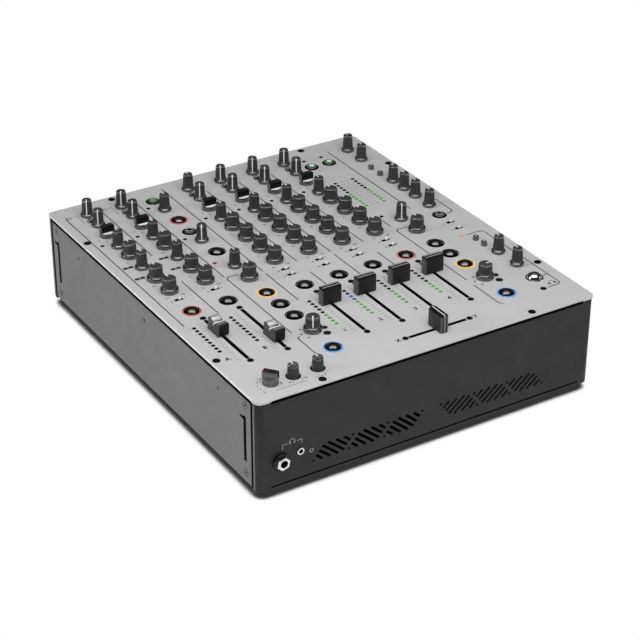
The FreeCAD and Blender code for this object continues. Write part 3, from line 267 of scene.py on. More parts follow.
def islands(node):
    """Boxes, in millimetres, of the separate solids in a group node."""
    bm = bmesh.new()
    bm.from_mesh(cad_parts[node].data)
    bmesh.ops.remove_doubles(bm, verts=bm.verts, dist=1e-6)
    seen, boxes = set(), []
    for first in bm.verts:
        if first in seen:
            continue
        seen.add(first)
        queue, points = [first], []
        while queue:
            vert = queue.pop()
            points.append(vert.co / MM)
            for edge in vert.link_edges:
                other = edge.other_vert(vert)
                if other not in seen:
                    seen.add(other)
                    queue.append(other)
        low = Vector([min(point[axis] for point in points) for axis in range(3)])
        high = Vector([max(point[axis] for point in points) for axis in range(3)])
        boxes.append((low, high))
    bm.free()
    return boxes


def middle(box):
    return (box[0] + box[1]) / 2


def places(node):
    """Middles, in millimetres, of the separate solids in a group node."""
    return [middle(box) for box in islands(node)]


def near(place, x, y, reach=3.0):
    return math.hypot(place.x - x, place.y - y) < reach


# Mesh building, in millimetres


def lathe(bm, profile, sides=32, finish=0):
    """Turns (radius, height, flute depth, finish) points round z; a finish fills the band before it."""
    rings = []
    for point in profile:
        radius, height, depth = (tuple(point) + (0.0,))[:3]
        if radius < 0.001:
            rings.append([bm.verts.new((0, 0, height))] * sides)
            continue
        ring = []
        for step in range(sides):
            angle = 2 * math.pi * step / sides
            reach = radius - depth * (step % 2)
            ring.append(bm.verts.new((reach * math.cos(angle), reach * math.sin(angle), height)))
        rings.append(ring)
    for band, (low, high) in enumerate(zip(rings, rings[1:])):
        colour = profile[band + 1][3] if len(profile[band + 1]) > 3 else finish
        for step in range(sides):
            turn = (step + 1) % sides
            corners = [low[step], low[turn], high[turn], high[step]]
            face = bm.faces.new(list(dict.fromkeys(corners)))
            face.material_index = colour


def loft(bm, rings, finish=0, capped=True):
    """Joins rings of the same number of points into a closed skin."""
    rows = [[bm.verts.new(point) for point in ring] for ring in rings]
    count = len(rows[0])
    faces = []
    for low, high in zip(rows, rows[1:]):
        for step in range(count):
            turn = (step + 1) % count
            faces.append(bm.faces.new((low[step], low[turn], high[turn], high[step])))
    if capped:
        faces.append(bm.faces.new(rows[0]))
        faces.append(bm.faces.new(rows[-1]))
    for face in faces:
        face.material_index = finish
    return faces


def prism(bm, outline, low, high, finish=0):
    return loft(bm, [[(x, y, low) for x, y in outline], [(x, y, high) for x, y in outline]], finish)


def disc(radius, x=0.0, y=0.0, sides=24, start=0.0):
    angles = [start + 2 * math.pi * step / sides for step in range(sides)]
    return [(x + radius * math.cos(a), y + radius * math.sin(a)) for a in angles]


def rounded(width, depth, radius, x=0.0, y=0.0, steps=4):
    points = []
    for quarter, (sx, sy) in enumerate(((1, 1), (-1, 1), (-1, -1), (1, -1))):
        cx, cy = x + sx * (width / 2 - radius), y + sy * (depth / 2 - radius)
        for step in range(steps + 1):
            angle = math.pi / 2 * (quarter + step / steps)
            points.append((cx + radius * math.cos(angle), cy + radius * math.sin(angle)))
    return points


def stroke(bm, points, width, low, high, finish=0):
    """A closed ribbon along a flat run of points, mitred at its corners."""
    points = [Vector(point) for point in points]
    left, right = [], []
    for index, point in enumerate(points):
        before = (point - points[index - 1]).normalized() if index else None
        after = (points[index + 1] - point).normalized() if index < len(points) - 1 else None
        along = ((before or after) + (after or before)).normalized()
        side = Vector((-along.y, along.x))
        run = after or before
        reach = width / 2 / max(side.dot(Vector((-run.y, run.x))), 0.35)
        left.append(point + side * reach)
        right.append(point - side * reach)
    prism(bm, [tuple(point) for point in left + right[::-1]], low, high, finish)


def ribbon(bm, run, width, height, finish=0):
    """A raised line along (radius, height) points in the plane through z and +x, with a hidden root."""
    rings = []
    for index, (radius, level) in enumerate(run):
        ahead = Vector(run[min(index + 1, len(run) - 1)]) - Vector(run[max(index - 1, 0)])
        out = Vector((ahead.y, -ahead.x)).normalized() * height
        root = out * 2
        rings.append([
            (radius - root.x, -width / 2, level - root.y), (radius - root.x, width / 2, level - root.y),
            (radius + out.x, width / 2, level + out.y), (radius + out.x, -width / 2, level + out.y),
        ])
    loft(bm, rings, finish)


def lettering(bm, words, x, y, size, low, high, finish=0):
    """Flat letters centred on a place, as a closed thin solid."""
    curve = bpy.data.curves.new("letters", "FONT")
    curve.body = words
    curve.size = size * 1.4
    curve.align_x = "CENTER"
    curve.align_y = "CENTER"
    curve.extrude = (high - low) / 2
    curve.resolution_u = 3
    curve.offset = size * 0.05
    holder = bpy.data.objects.new("letters", curve)
    mesh = bpy.data.meshes.new_from_object(holder)
    stamp(bm, mesh, Matrix.Translation((x, y, (low + high) / 2)), finish)
    bpy.data.objects.remove(holder)
    bpy.data.curves.remove(curve)
    bpy.data.meshes.remove(mesh)


def stamp(bm, mesh, matrix, finish=None):
    first_vert, first_face = len(bm.verts), len(bm.faces)
    bm.from_mesh(mesh)
    bm.verts.ensure_lookup_table()
    bm.faces.ensure_lookup_table()
    bmesh.ops.transform(bm, matrix=matrix, verts=bm.verts[first_vert:])
    if finish is not None:
        for face in bm.faces[first_face:]:
            face.material_index = finish


def template(name, bm):
    mesh = bpy.data.meshes.new(name)
    bm.to_mesh(mesh)
    bm.free()
    return mesh


def turned(name, profile, sides, finish=0):
    """A shape turned round z, ready to stamp."""
    bm = bmesh.new()
    lathe(bm, profile, sides, finish)
    return template(name, bm)


def at(x, y, z=None, turn=0.0):
    """A place on the fascia, or at another height, with a turn round z."""
    return Matrix.Translation((x, y, TOP if z is None else z)) @ Matrix.Rotation(turn, 4, "Z")


def frontward(x, y, z):
    """A place on the front panel, with z turned out of it."""
    return Matrix.Translation((x, y, z)) @ Matrix.Rotation(QUARTER, 4, "X")


def heading(degrees):
    angle = math.radians(degrees)
    return Vector((math.cos(angle), math.sin(angle)))


def stamp_each(bm, mesh, spots, turn=0.0):
    for spot in spots:
        stamp(bm, mesh, at(spot.x, spot.y, turn=turn))


class Ink:
    """Print on one flat face, as thin closed shapes between two heights."""

    def __init__(self, low, high):
        self.mesh = bmesh.new()
        self.low, self.high = low, high

    def shape(self, outline):
        prism(self.mesh, outline, self.low, self.high)

    def line(self, points, width, finish=0):
        stroke(self.mesh, points, width, self.low, self.high, finish)

    def text(self, words, x, y, size, finish=0):
        lettering(self.mesh, words, x, y, size, self.low, self.high, finish)

    def headphones(self, x, y, radii, width, pad, apart):
        """A headphone sign: a bow and two pads."""
        across, rise = radii
        drop = 0.6
        arc = [math.radians(180 - 15 * step) for step in range(13)]
        self.line([(x + across * math.cos(a), y + rise * math.sin(a)) for a in arc], width)
        for side in (-apart, apart):
            self.shape(rounded(*pad, x + side, y - drop))


def new_piece(name, bm, finishes, body=CASE, replaced=()):
    bmesh.ops.recalc_face_normals(bm, faces=bm.faces)
    for face in bm.faces:
        face.smooth = True
    bmesh.ops.scale(bm, vec=(MM, MM, MM), verts=bm.verts)
    mesh = template(name, bm)
    mesh.set_sharp_from_angle(angle=SHARP)
    for finish in finishes:
        mesh.materials.append(finish)
    piece = bpy.data.objects.new(name, mesh)
    bpy.context.scene.collection.objects.link(piece)
    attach(piece, body)
    if replaced:
        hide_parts(*replaced)


def new_cap(node, parts, finishes):
    """The piece that stands for a moving node, from stamped (mesh, matrix) parts."""
    bm = bmesh.new()
    for mesh, matrix in parts:
        stamp(bm, mesh, matrix)
    new_piece(f"{node}_cap", bm, finishes, node, [node])


def round_edges(piece, edge):
    bevel = piece.modifiers.new("Rounded edges", "BEVEL")
    bevel.width = edge * MM
    bevel.segments = 2
    bevel.limit_method = "ANGLE"
    bevel.angle_limit = SHARP
    bevel.harden_normals = True


def dress(node, finish, edge=0.0):
    """Gives a frame node its finish, and rounded edges where they show."""
    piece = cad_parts[node]
    if piece.data.materials:
        piece.data.materials[0] = finish
    else:
        piece.data.materials.append(finish)
    if edge:
        weld = piece.modifiers.new("Joined corners", "WELD")
        weld.merge_threshold = 1e-6
        flat = piece.modifiers.new("Flat faces", "DECIMATE")
        flat.decimate_type = "DISSOLVE"
        flat.angle_limit = math.radians(1)
        round_edges(piece, edge)


# Shared surface effects


def effect(name, inputs, outputs):
    """A new shader node group with its sockets, and its two end nodes."""
    group = bpy.data.node_groups.new(name, "ShaderNodeTree")
    for label, kind, value in inputs:
        socket = group.interface.new_socket(label, in_out="INPUT", socket_type=kind)
        socket.default_value = value
    for label, kind in outputs:
        group.interface.new_socket(label, in_out="OUTPUT", socket_type=kind)
    return group, group.nodes.new("NodeGroupInput"), group.nodes.new("NodeGroupOutput")


def fill(node, **values):
    """Sets sockets by their names, with _ for a space."""
    for label, value in values.items():
        node.inputs[label.replace("_", " ")].default_value = value


def noise(group, scale, detail):
    place = group.nodes.new("ShaderNodeTexCoord")
    cloud = group.nodes.new("ShaderNodeTexNoise")
    fill(cloud, Detail=detail)
    group.links.new(place.outputs["Object"], cloud.inputs["Vector"])
    group.links.new(scale, cloud.inputs["Scale"])
    return cloud.outputs["Fac"]


def spread(group, value, low, high, start=0.3, end=0.7):
    reach = group.nodes.new("ShaderNodeMapRange")
    fill(reach, From_Min=start, From_Max=end)
    group.links.new(value, reach.inputs["Value"])
    for socket, source in (("To Min", low), ("To Max", high)):
        if isinstance(source, float):
            reach.inputs[socket].default_value = source
        else:
            group.links.new(source, reach.inputs[socket])
    return reach.outputs["Result"]


def arithmetic(group, operation, first, second):
    node = group.nodes.new("ShaderNodeMath")
    node.operation = operation
    for socket, source in zip(node.inputs, (first, second)):
        if isinstance(source, float):
            socket.default_value = source
        else:
            group.links.new(source, socket)
    return node.outputs[0]


def mottle_effect():
    """Base colour that drifts lighter and darker in soft clouds and fine specks."""
    name = "Paint mottle"
    if name in bpy.data.node_groups:
        return bpy.data.node_groups[name]
    group, entry, exit_ = effect(
        name,
        [
            ("Color", "NodeSocketColor", (0.5, 0.5, 0.5, 1)), ("Amount", "NodeSocketFloat", 0.05),
            ("Scale", "NodeSocketFloat", 40.0), ("Speck", "NodeSocketFloat", 0.04),
            ("Speck Scale", "NodeSocketFloat", 2500.0),
        ],
        [("Color", "NodeSocketColor")],
    )
    clouds = noise(group, entry.outputs["Scale"], 3.0)
    specks = noise(group, entry.outputs["Speck Scale"], 1.0)
    total = None
    for value, amount in ((clouds, "Amount"), (specks, "Speck")):
        low = arithmetic(group, "SUBTRACT", 1.0, entry.outputs[amount])
        high = arithmetic(group, "ADD", 1.0, entry.outputs[amount])
        share = spread(group, value, low, high)
        total = share if total is None else arithmetic(group, "MULTIPLY", total, share)
    tint = group.nodes.new("ShaderNodeVectorMath")
    tint.operation = "SCALE"
    group.links.new(entry.outputs["Color"], tint.inputs[0])
    group.links.new(total, tint.inputs["Scale"])
    group.links.new(tint.outputs["Vector"], exit_.inputs["Color"])
    return group


def rub_effect():
    """Roughness that varies where hands and cloths have rubbed."""
    name = "Rubbed gloss"
    if name in bpy.data.node_groups:
        return bpy.data.node_groups[name]
    group, entry, exit_ = effect(
        name,
        [
            ("Smooth", "NodeSocketFloat", 0.35), ("Rough", "NodeSocketFloat", 0.5),
            ("Scale", "NodeSocketFloat", 90.0),
        ],
        [("Roughness", "NodeSocketFloat")],
    )
    clouds = noise(group, entry.outputs["Scale"], 4.0)
    gloss = spread(group, clouds, entry.outputs["Smooth"], entry.outputs["Rough"])
    group.links.new(gloss, exit_.inputs["Roughness"])
    return group


def grain_effect():
    """Fine moulded or sprayed grain as a height."""
    name = "Fine grain"
    if name in bpy.data.node_groups:
        return bpy.data.node_groups[name]
    group, entry, exit_ = effect(
        name, [("Scale", "NodeSocketFloat", 2500.0)], [("Height", "NodeSocketFloat")],
    )
    group.links.new(noise(group, entry.outputs["Scale"], 2.0), exit_.inputs["Height"])
    return group


def wear_effect():
    """Colour with a painted highlight: a paler line along the outer edges."""
    name = "Edge wear"
    if name in bpy.data.node_groups:
        return bpy.data.node_groups[name]
    group, entry, exit_ = effect(
        name,
        [
            ("Color", "NodeSocketColor", (0.5, 0.5, 0.5, 1)),
            ("Worn Color", "NodeSocketColor", (0.8, 0.8, 0.8, 1)),
            ("Radius", "NodeSocketFloat", 0.0006), ("Amount", "NodeSocketFloat", 0.5),
        ],
        [("Color", "NodeSocketColor")],
    )
    soft = group.nodes.new("ShaderNodeBevel")
    soft.samples = 4
    group.links.new(entry.outputs["Radius"], soft.inputs["Radius"])
    surface = group.nodes.new("ShaderNodeNewGeometry")
    agree = group.nodes.new("ShaderNodeVectorMath")
    agree.operation = "DOT_PRODUCT"
    group.links.new(soft.outputs["Normal"], agree.inputs[0])
    group.links.new(surface.outputs["Normal"], agree.inputs[1])
    edge = spread(group, agree.outputs["Value"], 1.0, 0.0, 0.8, 0.99)
    amount = arithmetic(group, "MULTIPLY", edge, entry.outputs["Amount"])
    blend = group.nodes.new("ShaderNodeMix")
    blend.data_type = "RGBA"
    group.links.new(amount, blend.inputs["Factor"])
    group.links.new(entry.outputs["Color"], blend.inputs[6])
    group.links.new(entry.outputs["Worn Color"], blend.inputs[7])
    group.links.new(blend.outputs[2], exit_.inputs["Color"])
    return group


def place_effect(tree, group, **values):
    node = tree.nodes.new("ShaderNodeGroup")
    node.node_tree = group
    fill(node, **values)
    return node


# Materials


def coating(name, colour, smooth, rough, metallic=0.0, coat=0.0, mottle=0.05, speck=0.04, grain=0.08,
            grain_scale=2600.0, edge_highlight=None, highlight_radius=0.6, glow=0.0, specular=0.5,
            ior=1.45, alpha=1.0):
    """A material by name, made once: mottled colour, rubbed gloss, fine grain and, where asked, a painted
    highlight along the edges.
    """
    if name in bpy.data.materials:
        return bpy.data.materials[name]
    material = bpy.data.materials.new(name)
    material.use_nodes = True
    tree = material.node_tree
    shader = tree.nodes["Principled BSDF"]
    colour = (*colour, 1.0)
    tint = place_effect(tree, mottle_effect(), Color=colour, Amount=mottle, Speck=speck).outputs["Color"]
    if edge_highlight is not None:
        painted_highlight = place_effect(tree, wear_effect(), Worn_Color=(*edge_highlight, 1.0), Radius=highlight_radius * MM)
        tree.links.new(tint, painted_highlight.inputs["Color"])
        tint = painted_highlight.outputs["Color"]
    tree.links.new(tint, shader.inputs["Base Color"])
    gloss = place_effect(tree, rub_effect(), Smooth=smooth, Rough=rough)
    tree.links.new(gloss.outputs["Roughness"], shader.inputs["Roughness"])
    bump = tree.nodes.new("ShaderNodeBump")
    fill(bump, Strength=grain, Distance=GRAIN_DEPTH)
    grains = place_effect(tree, grain_effect(), Scale=grain_scale)
    tree.links.new(grains.outputs["Height"], bump.inputs["Height"])
    tree.links.new(bump.outputs["Normal"], shader.inputs["Normal"])
    fill(shader, Metallic=metallic, Specular_IOR_Level=specular, IOR=ior, Coat_Weight=coat, Alpha=alpha)
    if glow:
        tree.links.new(tint, shader.inputs["Emission Color"])
        fill(shader, Emission_Strength=glow)
    return material


# The fascia's paler edges are a painted highlight.
def silver_paint():
    looks = bpy.context.scene.mixer_case
    return coating("Fascia silver paint", looks.silver, 0.4, 0.5, metallic=0.05, mottle=0.02,
                   speck=0.09, grain=0.05, edge_highlight=linear(246, 246, 247))


def charcoal_coat():
    looks = bpy.context.scene.mixer_case
    return coating("Charcoal powder coat", looks.charcoal, 0.5, 0.62, mottle=0.04, speck=0.1,
                   grain=0.14, grain_scale=1900.0, specular=0.35)


def side_paint():
    looks = bpy.context.scene.mixer_case
    return coating("Side panel paint", looks.side, 0.46, 0.58, mottle=0.03, speck=0.06, grain=0.1,
                   specular=0.4)


def dark_steel():
    looks = bpy.context.scene.mixer_case
    return coating("Blackened steel", looks.steel, 0.45, 0.6, metallic=0.3, mottle=0.08, grain=0.1)


def foot_rubber():
    return coating("Foot rubber", linear(22, 22, 22), 0.75, 0.9, mottle=0.1, grain=0.3,
                   grain_scale=1500.0)


def circuit_green():
    return coating("Circuit board lacquer", linear(18, 52, 34), 0.3, 0.5, mottle=0.12, grain=0.1)


def bright_metal():
    return coating("Bright nickel", linear(226, 226, 228), 0.12, 0.24, metallic=1.0, mottle=0.03,
                   grain=0.03)


def contact_gold():
    return coating("Contact gold", linear(214, 172, 84), 0.2, 0.3, metallic=0.9, mottle=0.05,
                   grain=0.03)


def phono_red():
    return coating("Phono ring red", linear(150, 30, 34), 0.35, 0.5, mottle=0.05, grain=0.06)


def dull_metal():
    return coating("Dull zinc", linear(150, 151, 154), 0.32, 0.5, metallic=0.9, mottle=0.08, grain=0.08)


def black_screw():
    return coating("Black oxide screw", linear(14, 14, 15), 0.35, 0.5, metallic=0.4, mottle=0.1,
                   grain=0.06)


def track_black():
    return coating("Fader track", linear(3, 3, 3), 0.6, 0.8, mottle=0.1, grain=0.1, specular=0.03)


def saddle_black():
    return coating("Saddle black", linear(15, 15, 16), 0.32, 0.44, mottle=0.08, grain=0.08,
                   specular=0.3)


def selector_grey():
    return coating("Selector grey", linear(104, 104, 106), 0.22, 0.32, metallic=0.4, mottle=0.08,
                   grain=0.05)


def halo(colour, alpha):
    looks = bpy.context.scene.mixer_buttons
    name = f"Halo {colour} {alpha}"
    return coating(name, getattr(looks, colour), 0.5, 0.6, mottle=0.04, grain=0.03, glow=looks.glow,
                   alpha=alpha)


# A dark shade of a ring's colour on the flange round a lit ring, as painted glow from the ring.
def tinted(colour):
    looks = bpy.context.scene.mixer_buttons
    shade = [0.3 * level * level for level in getattr(looks, colour)]
    return coating(f"Glow spill {colour}", shade, 0.2, 0.3, mottle=0.06, grain=0.03)


def socket_black():
    return coating("Socket moulding", linear(22, 22, 23), 0.36, 0.5, mottle=0.06, grain=0.12)


# The knobs' paler edges are a painted highlight.
def knob_grey():
    looks = bpy.context.scene.mixer_knobs
    return coating("Knob soft plastic", looks.rubber, 0.17, 0.24, ior=2.4, mottle=0.05, speck=0.06,
                   grain=0.08, grain_scale=3200.0, edge_highlight=linear(150, 150, 153), highlight_radius=0.3)


def pointer_white():
    looks = bpy.context.scene.mixer_knobs
    return coating("Pointer white", looks.pointer, 0.4, 0.55, mottle=0.02, grain=0.04)


# Near white for painted highlights on the selector scoops and the fascia's side edges.
def scoop_silver():
    return coating("Painted highlight white", linear(246, 246, 246), 0.25, 0.35, metallic=0.1,
                   mottle=0.03, grain=0.03)


def knob_top():
    return coating("Knob top", linear(62, 62, 64), 0.34, 0.46, mottle=0.06, grain=0.1)


# A pale grey that paints the highlight on knob rims and on the top of the saddle caps' front block.
def knob_rim():
    return coating("Painted rim highlight", linear(112, 112, 114), 0.18, 0.28, mottle=0.1, grain=0.06)


def worn_top():
    return coating("Rubbed knob top", linear(88, 88, 90), 0.3, 0.42, mottle=0.25, grain=0.15)


def knob_body():
    return coating("Knob grip", linear(57, 57, 59), 0.34, 0.46, mottle=0.05, speck=0.08, grain=0.12,
                   grain_scale=3200.0, specular=0.45)


def knob_finishes():
    """Gloss with painted edge highlights, pointer, crown, rim as a painted highlight, black foot, rubbed
    crown and grip, as the knob shapes number them.
    """
    return [knob_grey(), pointer_white(), knob_top(), knob_rim(), button_black(), worn_top(), knob_body()]


def tick_red():
    looks = bpy.context.scene.mixer_knobs
    return coating("Selector tick red", looks.selector_tick, 0.4, 0.5, mottle=0.05, grain=0.05)


def button_black():
    looks = bpy.context.scene.mixer_buttons
    return coating("Button gloss black", looks.black, 0.2, 0.26, ior=2.2, mottle=0.06, grain=0.005)


def light(colour):
    looks = bpy.context.scene.mixer_buttons
    return coating(f"Light {colour}", getattr(looks, colour), 0.3, 0.4, mottle=0.06, grain=0.04,
                   glow=looks.glow)


def lamp_dark():
    return coating("Unlit lamp", linear(12, 12, 13), 0.12, 0.22, coat=0.3, mottle=0.08, grain=0.03)


def cap_silver():
    looks = bpy.context.scene.mixer_faders
    return coating("Cap silver", looks.silver, 0.22, 0.32, metallic=0.3, mottle=0.04, grain=0.05)


def cap_black():
    looks = bpy.context.scene.mixer_faders
    return coating("Cap matt black", looks.black, 0.42, 0.56, mottle=0.05, speck=0.12, grain=0.25,
                   grain_scale=2200.0, specular=0.35)


# A lighter grey than the slabs' black for the crossfader, as painted light on its lit long face.
def cap_grey():
    return coating("Lit crossfader cap", linear(48, 48, 49), 0.4, 0.55, mottle=0.05, speck=0.1, grain=0.2,
                   specular=0.35)


# A lighter grey for the slab ends, as painted light on them.
def cap_rib():
    return coating("Lit cap end", linear(84, 84, 86), 0.3, 0.42, mottle=0.06, grain=0.08)


def scale_grey():
    return coating("Cap line grey", linear(150, 150, 152), 0.35, 0.5, mottle=0.04, grain=0.05)


def dark_ink():
    return coating("Fascia ink", bpy.context.scene.mixer_print.ink, 0.45, 0.6, mottle=0.08, grain=0.05)


def pale_ink():
    return coating("Pale fascia ink", bpy.context.scene.mixer_print.pale, 0.45, 0.6, mottle=0.06,
                   grain=0.05)


# Control shapes, with their foot at z 0 and their pointer along +x


def knob(name, profile, sides, run, width):
    """A fluted knob with a raised pointer line along a run of (radius, height) points."""
    bm = bmesh.new()
    lathe(bm, profile, sides)
    ribbon(bm, run, width, POINTER_RISE, POINTER)
    return template(name, bm)


def slim_knob(mark):
    looks = bpy.context.scene.mixer_knobs
    depth = looks.flute_depth
    profile = [
        (0, 0), (5.8, 0), (6.0, 0.2), (6.0, 2.0), (5.95, 2.25), (5.8, 2.45), (5.3, 2.77), (4.85, 3.06),
        (4.82, 3.3), (4.8, 3.7), (4.78, 3.9, depth, GRIP), (4.3, 14.2, depth, GRIP), (4.3, 14.4, 0, GRIP),
        (4.25, 15.2), (4.0, 15.75, 0, RIM_HIGHLIGHT), (3.75, 15.98), (3.5, SLIM_HEIGHT), (3.35, 15.8, 0, CROWN),
        (0, 15.75, 0, CROWN),
    ]
    start = (4.86, 3.6) if mark == "line" else (4.34, 13.6)
    run = [start, (4.34, 14.6), (4.28, 15.25), (3.9, 15.9), (3.5, SLIM_HEIGHT), (0.4, 15.95)]
    return knob("slim_knob", profile, looks.flutes * 2, run, 1.0)


def fat_knob(mark):
    looks = bpy.context.scene.mixer_knobs
    depth = looks.flute_depth
    profile = [
        (0, 0), (7.4, 0), (7.6, 0.2), (7.6, 2.7), (7.55, 3.1), (7.38, 3.5), (6.95, 3.88), (6.5, 4.14),
        (6.05, 4.32), (6.0, 5.2), (5.98, 5.6, depth, GRIP), (5.8, 11.6, depth, GRIP), (5.82, 11.8, 0, GRIP),
        (5.75, 12.5), (5.6, 12.8), (5.1, 13.15, 0, RIM_HIGHLIGHT), (4.95, FAT_HEIGHT), (4.75, 13.08, 0, CROWN),
        (0, 13.0, 0, CROWN),
    ]
    run = [(5.86, 11.8), (5.78, 12.6), (5.3, 13.22), (4.9, FAT_HEIGHT)]
    if mark == "line":
        run, width = [(6.06, 5.2), *run, (0.6, 13.25)], 1.1
    else:
        run, width = [(5.86, 10.8), *run, (2.6, 13.25)], 1.3
    return knob("fat_knob", profile, looks.flutes * 2 + 8, run, width)


def short_knob():
    looks = bpy.context.scene.mixer_knobs
    depth = looks.flute_depth
    profile = [
        (0, 0), (6.0, 0), (6.0, 0.35, 0, FOOT), (5.1, 0.5, 0, FOOT), (4.75, 0.5), (4.7, 1.0, depth, GRIP),
        (4.35, 9.3, depth, GRIP), (4.35, 9.5), (4.25, 10.2), (4.0, 10.75), (3.75, 10.98), (3.5, 11.0),
        (3.3, 10.8, 0, RUBBED), (0, 10.7, 0, RUBBED),
    ]
    run = [(4.4, 8.6), (4.4, 9.6), (4.28, 10.25), (3.8, 10.95), (3.5, 11.0), (0.4, 10.95)]
    return knob("short_knob", profile, looks.flutes * 2, run, 1.0)


def selector_knob():
    """A round foot with a grip across it; the scoops beside the grip and the grip's front and back faces take
    finishes of their own, which paint the highlight and shade on them.
    """
    tick, scoop_highlight, flank_shade_and_sheen = 1, 2, 3
    bm = bmesh.new()
    lathe(bm, [(0, 0), (6.1, 0), (6.3, 0.2), (6.3, 0.7), (6.1, 0.9), (6.2, 4.3), (6.05, 4.6), (0, 4.65)], 40)
    half, top, waist = 6.2, 10.6, 3.0
    section = [(-waist, 4.2), (-2.9, 10.2), (-2.6, top), (2.6, top), (2.9, 10.2), (waist, 4.2)]
    rings = []
    for x, share in ((-half, 0.8), (-half + 0.6, 1.0), (half - 0.6, 1.0), (half, 0.8)):
        rings.append([(x, y * share, z - (1 - share) * 1.6 if z > 9 else z) for y, z in section])
    # The grip's front and back faces take a finish of their own, which paints the light on them.
    for face in loft(bm, rings):
        if abs(face.calc_center_median().y) > 1.7:
            face.material_index = flank_shade_and_sheen
    for side in (-1, 1):
        angles = [math.radians(28 + 124 * step / 18) for step in range(19)]
        rim = [(6.1 * math.cos(a), side * 6.0 * math.sin(a), 4.62) for a in angles]
        step_in = [(x, side * (waist - 0.1), 5.0) for x, _, _ in rim]
        dip = [((a[0] + b[0]) / 2, (a[1] + b[1]) / 2, 4.7) for a, b in zip(rim, step_in)]
        floor = [(x, y, 4.3) for x, y, _ in step_in]
        foot = [(x, y, 4.3) for x, y, _ in rim]
        loft(bm, [list(ring) for ring in zip(rim, dip, step_in, floor, foot)], scoop_highlight)
    ribbon(bm, [(6.24, 6.6), (6.22, 9.4), (5.6, 10.62), (2.2, 10.62)], 3.2, POINTER_RISE, tick)
    return template("selector_knob", bm)


def trim_cap(height):
    bm = bmesh.new()
    lathe(bm, [
        (0, 0), (2.7, 0), (2.75, 0.15), (2.7, height - 0.9), (2.45, height - 0.6), (2.35, height - 0.2),
        (2.1, height), (1.5, height), (1.35, height - 0.3), (0, height - 0.35),
    ], 24)
    prism(bm, rounded(2.6, 0.5, 0.2), height - 0.4, height - 0.1, POINTER)
    return template("trim_cap", bm)


# Operators


class MIXER_OT_case(bpy.types.Operator):
    """Paints the panels, the base, the feet and the pieces inside the case"""

    bl_idname = "mixer.case"
    bl_label = "Case"

    def execute(self, context):
        edge = context.scene.mixer_case.edge
        for node, paint, share in (
            ("fascia", silver_paint, 1.0),
            ("front_panel", charcoal_coat, 0.5),
            ("rear_panel", charcoal_coat, 0.5),
            ("left_side_panel", side_paint, 0.6),
            ("right_side_panel", side_paint, 0.6),
            ("base_plate", dark_steel, 0.5),
            ("feet", foot_rubber, 1.0),
            ("control_board", circuit_green, 0.0),
            ("potentiometers", dull_metal, 0.0),
            ("fader_tracks", track_black, 0.0),
            ("power_supply", dull_metal, 1.0),
        ):
            dress(node, paint(), edge * share)
        self.gaps()
        self.slot_liners()
        return {"FINISHED"}

    def gaps(self):
        """Dark strips in the gaps round the panels, down the fascia's side edges and behind the side slots,
        as painted shade; pale strips along the fascia's side edges and on the wraps' rounded corners, as
        painted highlights.
        """
        # Finishes: painted shade, painted highlight, and a paler and a darker grey for the painted highlight
        # on the wraps' corners.
        shade, bright, paint, corner = range(4)
        face, ledge = node_box("front_panel"), node_box("left_side_panel")
        under, rim = node_box("fascia")[0].z - 0.05, node_box("fascia")[1]
        side_length = ledge[1].y * 2 + 4
        bm = bmesh.new()

        def strip(width, depth, x, y, low, high, finish=shade):
            prism(bm, rounded(width, depth, 0.1, x, y), low, high, finish)

        for way in (-1, 1):
            end = way * ledge[1].y
            # A dark strip down the fascia's side edge and the gap under it, as painted shade.
            strip(0.5, side_length, way * (rim.x - 0.2), 0, ledge[1].z + 0.1, rim.z - 1.1)
            for side in (-1, 1):
                strip(0.5, 3.2, side * (face[1].x - 0.18), end + way * 1.15, ledge[0].z, under)
            for low, high in ((ledge[1].z + 0.1, under), (face[0].z + 2.35, face[0].z + 3.75)):
                strip(295.0, 0.5, 0, way * (-face[0].y - 0.4), low, high)
            strip(294.0, 0.5, 0, way * (rim.y - 0.2), under - 1.5, under + 0.9)
            # A pale strip along the fascia's side edge, as a painted highlight.
            strip(0.6, side_length, way * (rim.x - 0.24), 0, rim.z - 1.1, rim.z + 0.02, bright)
            for side in (-1, 1):
                strip(0.3, 13.0, side * (face[1].x - 0.75), way * 166.0, 24.0, 72.0)
                # Two strips on each wrap's rounded corner, paler beside the gap, as a painted highlight.
                for offset, finish in ((3.4, paint), (4.7, corner)):
                    spot = side * (face[1].x - 0.2), end + way * offset
                    strip(0.5, 1.3, *spot, face[0].z + 2, under - 1.5, finish)
        finishes = [track_black(), scoop_silver(), side_paint(), knob_top()]
        new_piece("panel_gaps", bm, finishes)

    def slot_liners(self):
        """Thin black walls inside the fader slots, as painted shade on the walls of the holes."""
        track_ends, depth, lip = 16.1, -2.1, 0.03
        bm = bmesh.new()
        for box in islands("fader_tracks"):
            place, size = middle(box), box[1] - box[0]
            length = max(size.x, size.y) - track_ends
            rings = []
            for inset, z in ((0.0, depth), (0.0, lip), (0.2, lip), (0.2, depth)):
                wall = (3.2 - inset, length - inset)
                outline = rounded(*(wall[::-1] if size.x > size.y else wall), 0.3, place.x, place.y)
                rings.append([(x, y, TOP + z) for x, y in outline])
            loft(bm, rings + rings[:1], capped=False)
        bmesh.ops.remove_doubles(bm, verts=bm.verts, dist=0.001)
        new_piece("slot_liners", bm, [black_screw()])


